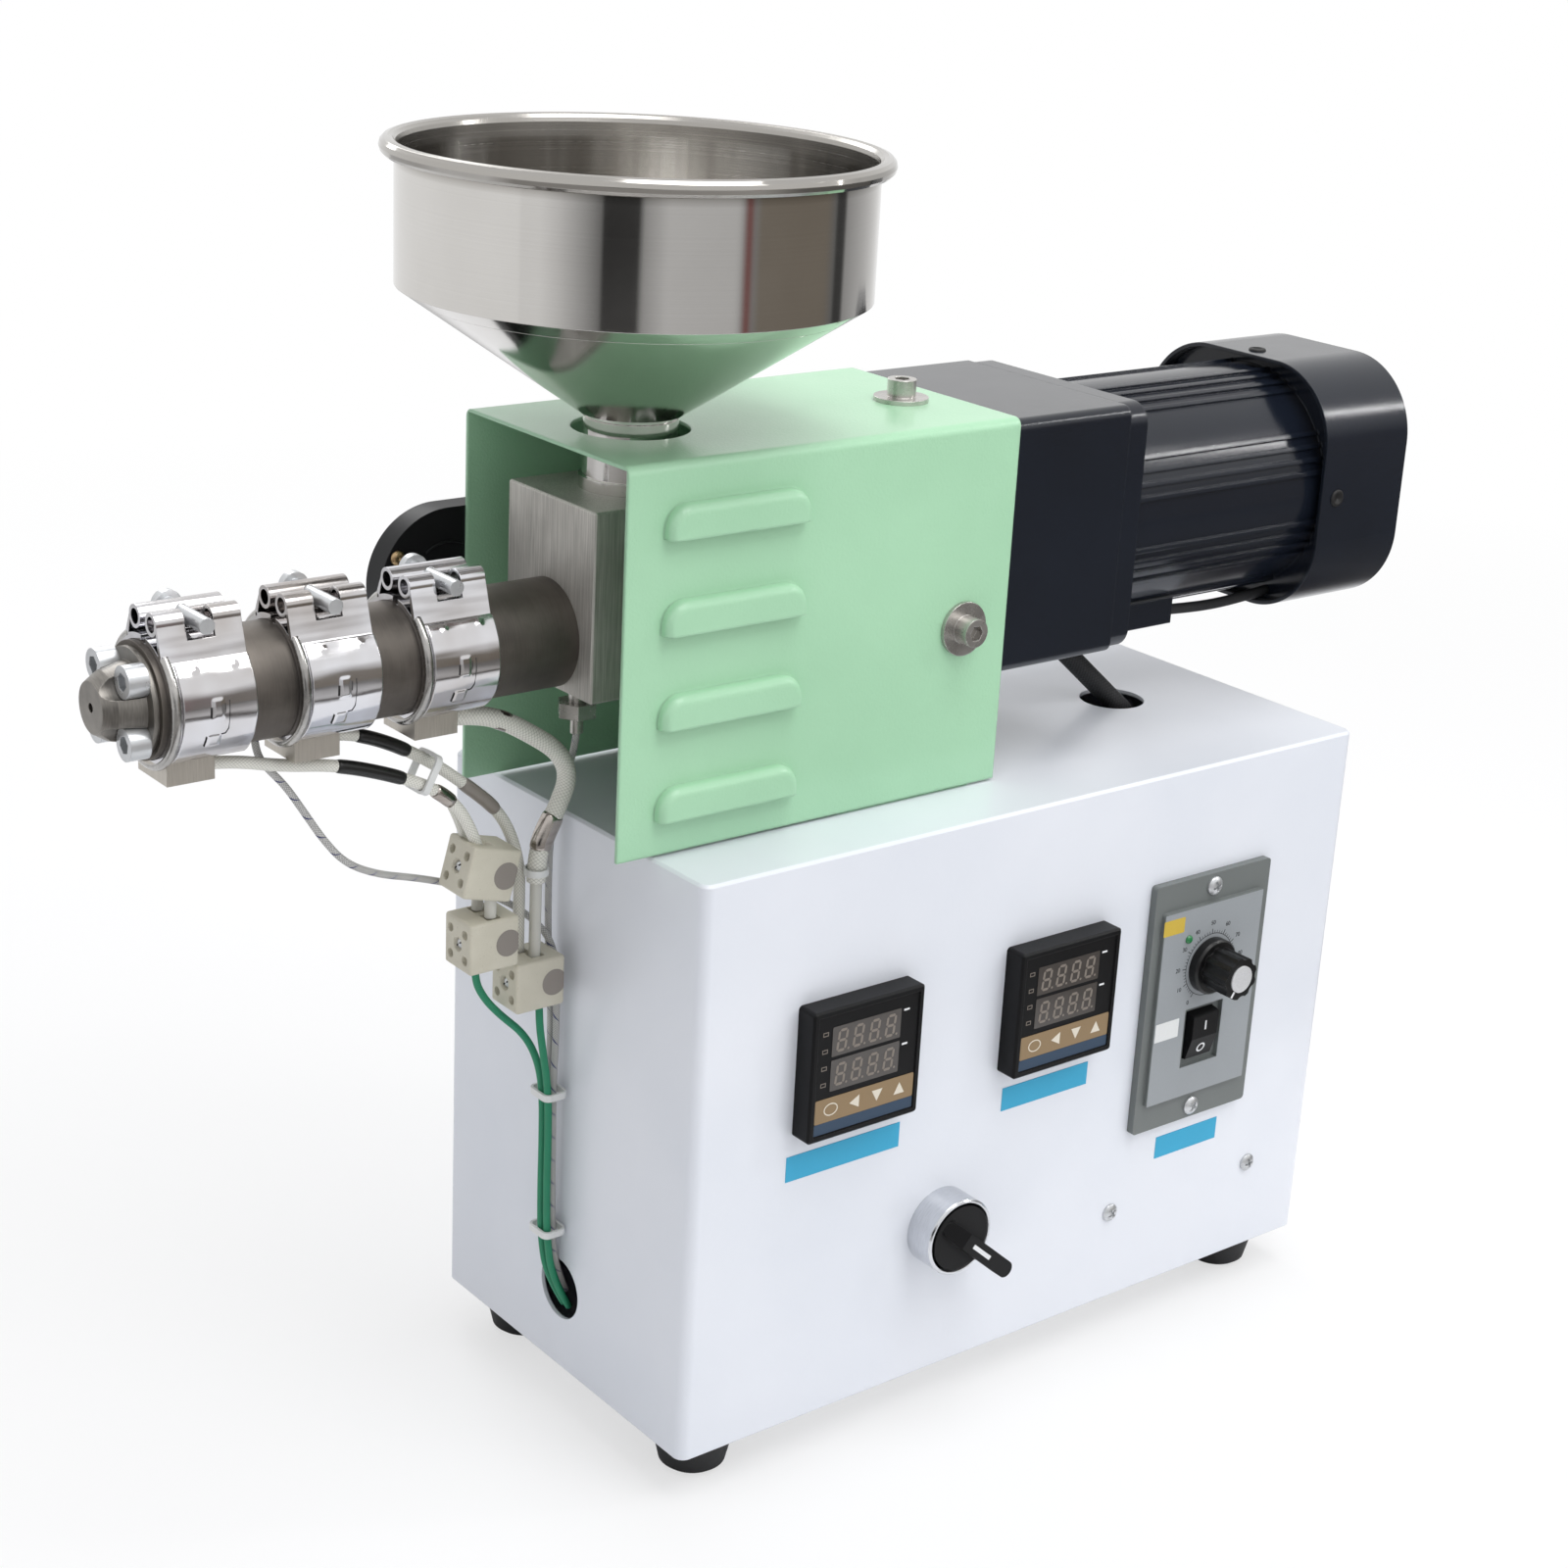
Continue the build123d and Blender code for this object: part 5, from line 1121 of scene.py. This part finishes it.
# ---------------------------------------------------------------- screws, the blower's ridge, labels

# Half the width of a cross recess and its reach, as shares of the head's radius
RECESS_HALF = 0.14
RECESS_REACH = 0.55
# Profiles of radius and height, places x, y and z, and for cross heads x, z and the turn in degrees
SOCKET_HEAD = [(3.3, -0.4), (3.3, 0.35), (2.9, 0.75), (1.9, 0.8), (1.7, 0.3), (0.2, 0.25), (0.2, -0.4)]
EAR_HEAD = [(2.6, -0.4), (2.6, 0.5), (2.1, 1.1), (1.0, 1.3), (0.2, 1.3), (0.2, -0.4)]
DRIVE_SCREWS = ((80.5, 181.0, 20), (80.5, 91.0, 55))
FRONT_SCREWS = ((45.5, 54.0, 35), (120.5, 54.0, 10))
COVER_SCREWS = (((159.4, -47.5, 311.5), OUTWARD), ((159.4, 0.0, 359.0), (0, 0, 1)))
BLOWER_FACE = 46.4
EAR_SCREW = (-192.8, BLOWER_FACE, 310.2)
BLOWER_MIDDLE = (-173.5, 299.5)
RIDGE_RADIUS = 14
RIDGE_SPAN = (66, 128)
RIDGE_WIDTH = 0.9
RIDGE_SUNK = 0.05
LABELS = {"barrel": (-113.8, -64.0, 112.6, 122.0), "feed": (-16.0, 26.0, 113.0, 122.0),
          "speed": (67.0, 100.0, 70.5, 79.5)}
LABEL_PAPER = 0.18


def cross_head(x, z, depth, radius, rise, turn):
    """A pan head with a cross recess, as height over a disc: a rim that rises like a flattened
    dome, less the recess wherever the point is inside either bar of the cross."""
    reach = np.concatenate([[1.0, 1.0], np.cos(np.linspace(0.05, math.pi / 2 - 0.02, 22))]) * radius
    radii, angles = np.meshgrid(reach, angles_round(64), indexing="ij")
    across = radii * np.cos(angles)
    upward = radii * np.sin(angles)
    height = rise * (0.35 + 0.65 * (1 - (radii / radius) ** 2.6))
    height[0] = 0.0
    from_bar = np.minimum(abs(across), abs(upward))
    along_bar = np.maximum(abs(across), abs(upward))
    in_bar = (from_bar < RECESS_HALF * radius) & (along_bar < RECESS_REACH * radius)
    height = np.where(in_bar, height - rise * (0.75 - 0.6 * radii / radius), height)
    turned = rotated(np.stack([across, upward], axis=-1), turn) + [x, z]
    return skin(from_cabinet(np.stack([turned[..., 0], depth - height, turned[..., 1]], axis=-1)))


def cross_heads(name, depth, radius, rise, places):
    """Pan heads on one face, each at x and z and with its cross turned by some degrees."""
    parts = [(cross_head(x, z, depth, radius, rise, turn), zinc_plate) for x, z, turn in places]
    return crisp(add_piece(name, parts), 30)


cross_heads("drive_screws", DRIVE_PLATE, radius=3.6, rise=2.2, places=DRIVE_SCREWS)
front_screw_heads = cross_heads("front_screw_heads", PANEL, radius=3.5, rise=2.0, places=FRONT_SCREWS)
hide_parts("panel_screws")
add_piece("cover_screws", [(spin(SOCKET_HEAD, place, axis, 32), black_and_recess_shade) for place, axis in COVER_SCREWS])
arc = np.radians(np.linspace(*RIDGE_SPAN, 24))
ridge = np.column_stack([BLOWER_MIDDLE[0] + RIDGE_RADIUS * np.cos(arc), BLOWER_MIDDLE[1] + RIDGE_RADIUS * np.sin(arc)])
ridge_line = from_cabinet(standing(ridge, BLOWER_FACE - RIDGE_SUNK))
add_piece("blower_ridge", [(hose(ridge_line, RIDGE_WIDTH, 10)[0], blower_black)])
add_piece("blower_screw", [(spin(EAR_HEAD, EAR_SCREW, OUTWARD, 28), brass_head)])
for stem, box in LABELS.items():
    label = plate((0, 0), box, PANEL - LABEL_PAPER, LABEL_PAPER, blue_paper)
    add_piece(f"paper_label_{stem}", [label], smooth=False)


# ---------------------------------------------------------------- marks on what turns

ROCKER_TILT = math.radians(8)
ROCKER_CROWN = -4.2
MARK_INK = 0.05
I_MARK = (-0.4, 0.4, 3.0, 6.6)
O_MIDDLE = (0, -5.0)
O_OUTER, O_INNER = 2.1, 1.4
# The bars on the lever and the knob: the way in degrees, start, end and half width; then their depths
LEVER_BAR = (-41, 3.0, 14.0, 0.8)
POINTER_BAR = (238, 5.4, 7.9, 0.5)
LEVER_FACE = -91.86
KNOB_FACE = -95.96
BAR_INK = 0.1


def on_rocker(points, lift):
    """Points x and height on the unfolded rocker, in millimetres, laid on its two faces: depth is
    the crown less the height's share of the faces' slope, and the whole is tilted by the same angle."""
    points = np.asarray(points, float)
    depth = ROCKER_CROWN + abs(points[:, 1]) * math.tan(ROCKER_TILT) - lift
    return np.column_stack([ROCKER[0] + points[:, 0],
                            ROCKER[1] + depth * math.cos(ROCKER_TILT) - points[:, 1] * math.sin(ROCKER_TILT),
                            ROCKER[2] + depth * math.sin(ROCKER_TILT) + points[:, 1] * math.cos(ROCKER_TILT)])


stroke = oblong(*I_MARK)
stroke_grid = np.stack([on_rocker(stroke, 0.0), on_rocker(stroke, MARK_INK)])
ring_outer, ring_inner = disc(*O_MIDDLE, O_OUTER), disc(*O_MIDDLE, O_INNER)
ring_grid = np.stack([on_rocker(ring_outer, 0.0), on_rocker(ring_outer, MARK_INK),
                      on_rocker(ring_inner, MARK_INK), on_rocker(ring_inner, 0.0)])
rocker_parts = [(skin(from_cabinet(stroke_grid)), white_ink),
                (skin(from_cabinet(ring_grid), ends=False, looped=True), white_ink)]
lever_bar = prism(bar(SELECTOR, *LEVER_BAR), LEVER_FACE, BAR_INK)
pointer_bar = prism(bar(KNOB, *POINTER_BAR), KNOB_FACE, BAR_INK)
for name, parts, body in (("rocker_marks", rocker_parts, "rocker_switch"),
                          ("lever_mark", [(lever_bar, white_ink)], "selector_lever"),
                          ("knob_pointer", [(pointer_bar, white_ink)], "speed_knob")):
    add_piece(name, parts, body=body, smooth=False)


# ---------------------------------------------------------------- studio

AMBIENT = 0.62
FLOOR_GLOW = 0.62
FLOOR_RADIUS = 14
FLOOR_DROP = 0.0002
# Distances over which the floor changes: where gloss stops seeing it pale, where its dark patch
# round the machine gives way to the bench, and where the camera starts to see it glow more
PALE_ENDS = (0.41, 0.46)
PATCH_ENDS = (0.5, 0.58)
GLOW_RISES = (0.45, 1.5)
SCREEN_MIDDLE = (-0.05, 0.0)
SCREEN_RADIUS = 1.7
SCREEN_HEIGHT = 1.9
SCREEN_FADE = (0.2, 0.42)
# The way from the hopper's axis to the camera, in degrees
CAMERA_WAY = math.degrees(math.atan2(-0.815, -0.579))
# Shades of a room round the machine, by the angle in degrees to the right of the camera
BRICK = (0.2, 0.085, 0.08)
OLIVE = (0.2, 0.175, 0.145)
SHADES = [(-178, 0.94), (-110, 0.94), (-60, 0.92), (-45, 0.85), (-37, 0.7), (-23, 0.36), (-16.6, 0.18),
          (-15.6, 0.03), (1.0, 0.035), (2.2, 0.34), (14, 0.6), (46, 0.56), (49, 0.36), (50, BRICK), (53, BRICK),
          (54, 0.24), (58, OLIVE), (98, OLIVE), (104, 0.16), (106, 0.05), (112, 0.06), (114, 0.35), (132, 0.55),
          (160, 0.9)]
WHITE = (1, 1, 1, 1)


def pale_floor():
    """A floor that shows nearly white to the camera and takes soft shadows. Gloss sees it darker away
    from the machine, in front of it and far behind it, as a bench under it would be."""
    f = Finish("pale_floor", {"Roughness": 0.9, "Specular IOR Level": 0.1})
    x, y = f.part("X"), f.part("Y")
    reach = (x * x + y * y) ** 0.5
    pale = f.mixed((0.82, 0.82, 0.83, 1), (0.86, 0.86, 0.87, 1), f.noise(3))
    off_gloss = f.ray("Glossy") * ((y * -1).within(-0.25, -0.05) + y.within(0.7, 1.0) * 0.5)
    far_bench = f.mixed((0.4, 0.39, 0.38, 1), (0.14, 0.135, 0.13, 1), x.within(0.2, 0.5))
    bench = f.mixed((0.03, 0.022, 0.018, 1), far_bench, reach.within(*PATCH_ENDS))
    f.feed("Base Color", f.mixed(pale, bench, off_gloss * reach.within(*PALE_ENDS)))
    glow = f.node("ShaderNodeEmission", None, {"Color": WHITE, "Strength": 1.0})
    share = f.ray("Camera") * (reach.within(*GLOW_RISES) * (1 - FLOOR_GLOW) + FLOOR_GLOW)
    f.show(f.node("ShaderNodeMixShader", None, {0: share, 1: Wave(f, f.shader.outputs[0]), 2: glow}))
    return f


def screen_glow(stops):
    """The glow of a screen round a middle: a ramp of shades by the angle, which fades to white upwards."""
    f = Finish("studio_screen")
    east = f.part("X") - SCREEN_MIDDLE[0]
    north = f.part("Y") - SCREEN_MIDDLE[1]
    turn = f.node("ShaderNodeMath", {"operation": "ARCTAN2"}, {0: north, 1: east}) / (2 * math.pi) + 0.5
    shade = f.node("ShaderNodeValToRGB", {"stops": stops}, {0: turn})
    lift = (f.part("Z") / SCREEN_HEIGHT).within(*SCREEN_FADE)
    f.show(f.node("ShaderNodeEmission", None, {"Color": f.mixed(shade, WHITE, lift), "Strength": 1.0}))
    return f


def screen_stops(shades):
    """A ramp's stops, in order, from angles to the right of the camera and their shades."""
    stops = [(((CAMERA_WAY + degrees + 180) / 360) % 1.0, (*np.broadcast_to(shade, 3).tolist(), 1))
             for degrees, shade in shades]
    return sorted(stops, key=lambda stop: stop[0])


ring = angles_round(96)
floor_points = np.column_stack([FLOOR_RADIUS * np.cos(ring), FLOOR_RADIUS * np.sin(ring), np.full(96, -FLOOR_DROP)])
mesh_object("floor", floor_points, [list(range(96))], [pale_floor()])

# A dark screen that only gloss sees
turn = np.linspace(0, 2 * math.pi, 97)
low = np.column_stack([SCREEN_MIDDLE[0] + SCREEN_RADIUS * np.cos(turn),
                       SCREEN_MIDDLE[1] + SCREEN_RADIUS * np.sin(turn), np.zeros(97)])
screen_points, screen_faces = skin(np.stack([low, low + [0, 0, SCREEN_HEIGHT]]), closed=False, ends=False)
screen = mesh_object("studio_screen", screen_points, screen_faces, [screen_glow(screen_stops(SHADES))])
for ray in ("camera", "diffuse", "shadow", "transmission", "volume_scatter"):
    setattr(screen, "visible_" + ray, False)

# The sky lights the machine less than it shows to the camera, off gloss and through glass
world = bpy.data.worlds.new("studio")
bpy.context.scene.world = world
sky = Tree(world)
seen = (sky.ray("Camera") + sky.ray("Glossy") + sky.ray("Transmission")).within(0.0, 1.0)
sky.join((0.985, 0.99, 1.0, 1), sky.nodes["Background"].inputs["Color"])
sky.join(seen * (1 - AMBIENT) + AMBIENT, sky.nodes["Background"].inputs["Strength"])

# Each lamp's place, the spot it points at, its two sizes, and its watts
LAMPS = {
    "top_light": ((0.15, -0.55, 1.75), (0.0, 0.0, 0.2), 1.5, 0.9, 18),
    "front_light": ((0.75, -1.75, 0.95), (0.05, 0.0, 0.2), 1.1, 0.9, 4.5),
    "rib_light": ((1.1, -0.66, 0.95), (0.15, -0.05, 0.3), 0.5, 0.05, 2.0),
    "back_light": ((0.2, 1.3, 1.3), (0.0, 0.0, 0.25), 1.2, 0.5, 7),
}
for name, (place, aim, width, depth, watts) in LAMPS.items():
    light = bpy.data.lights.new(name, "AREA")
    light.shape = "RECTANGLE"
    light.size = width
    light.size_y = depth
    light.energy = watts
    lamp = bpy.data.objects.new(name, light)
    lamp.matrix_world = axes_matrix(*square_to(np.subtract(place, aim)), place)
    bpy.context.scene.collection.objects.link(lamp)

bpy.context.scene.view_settings.view_transform = "Standard"
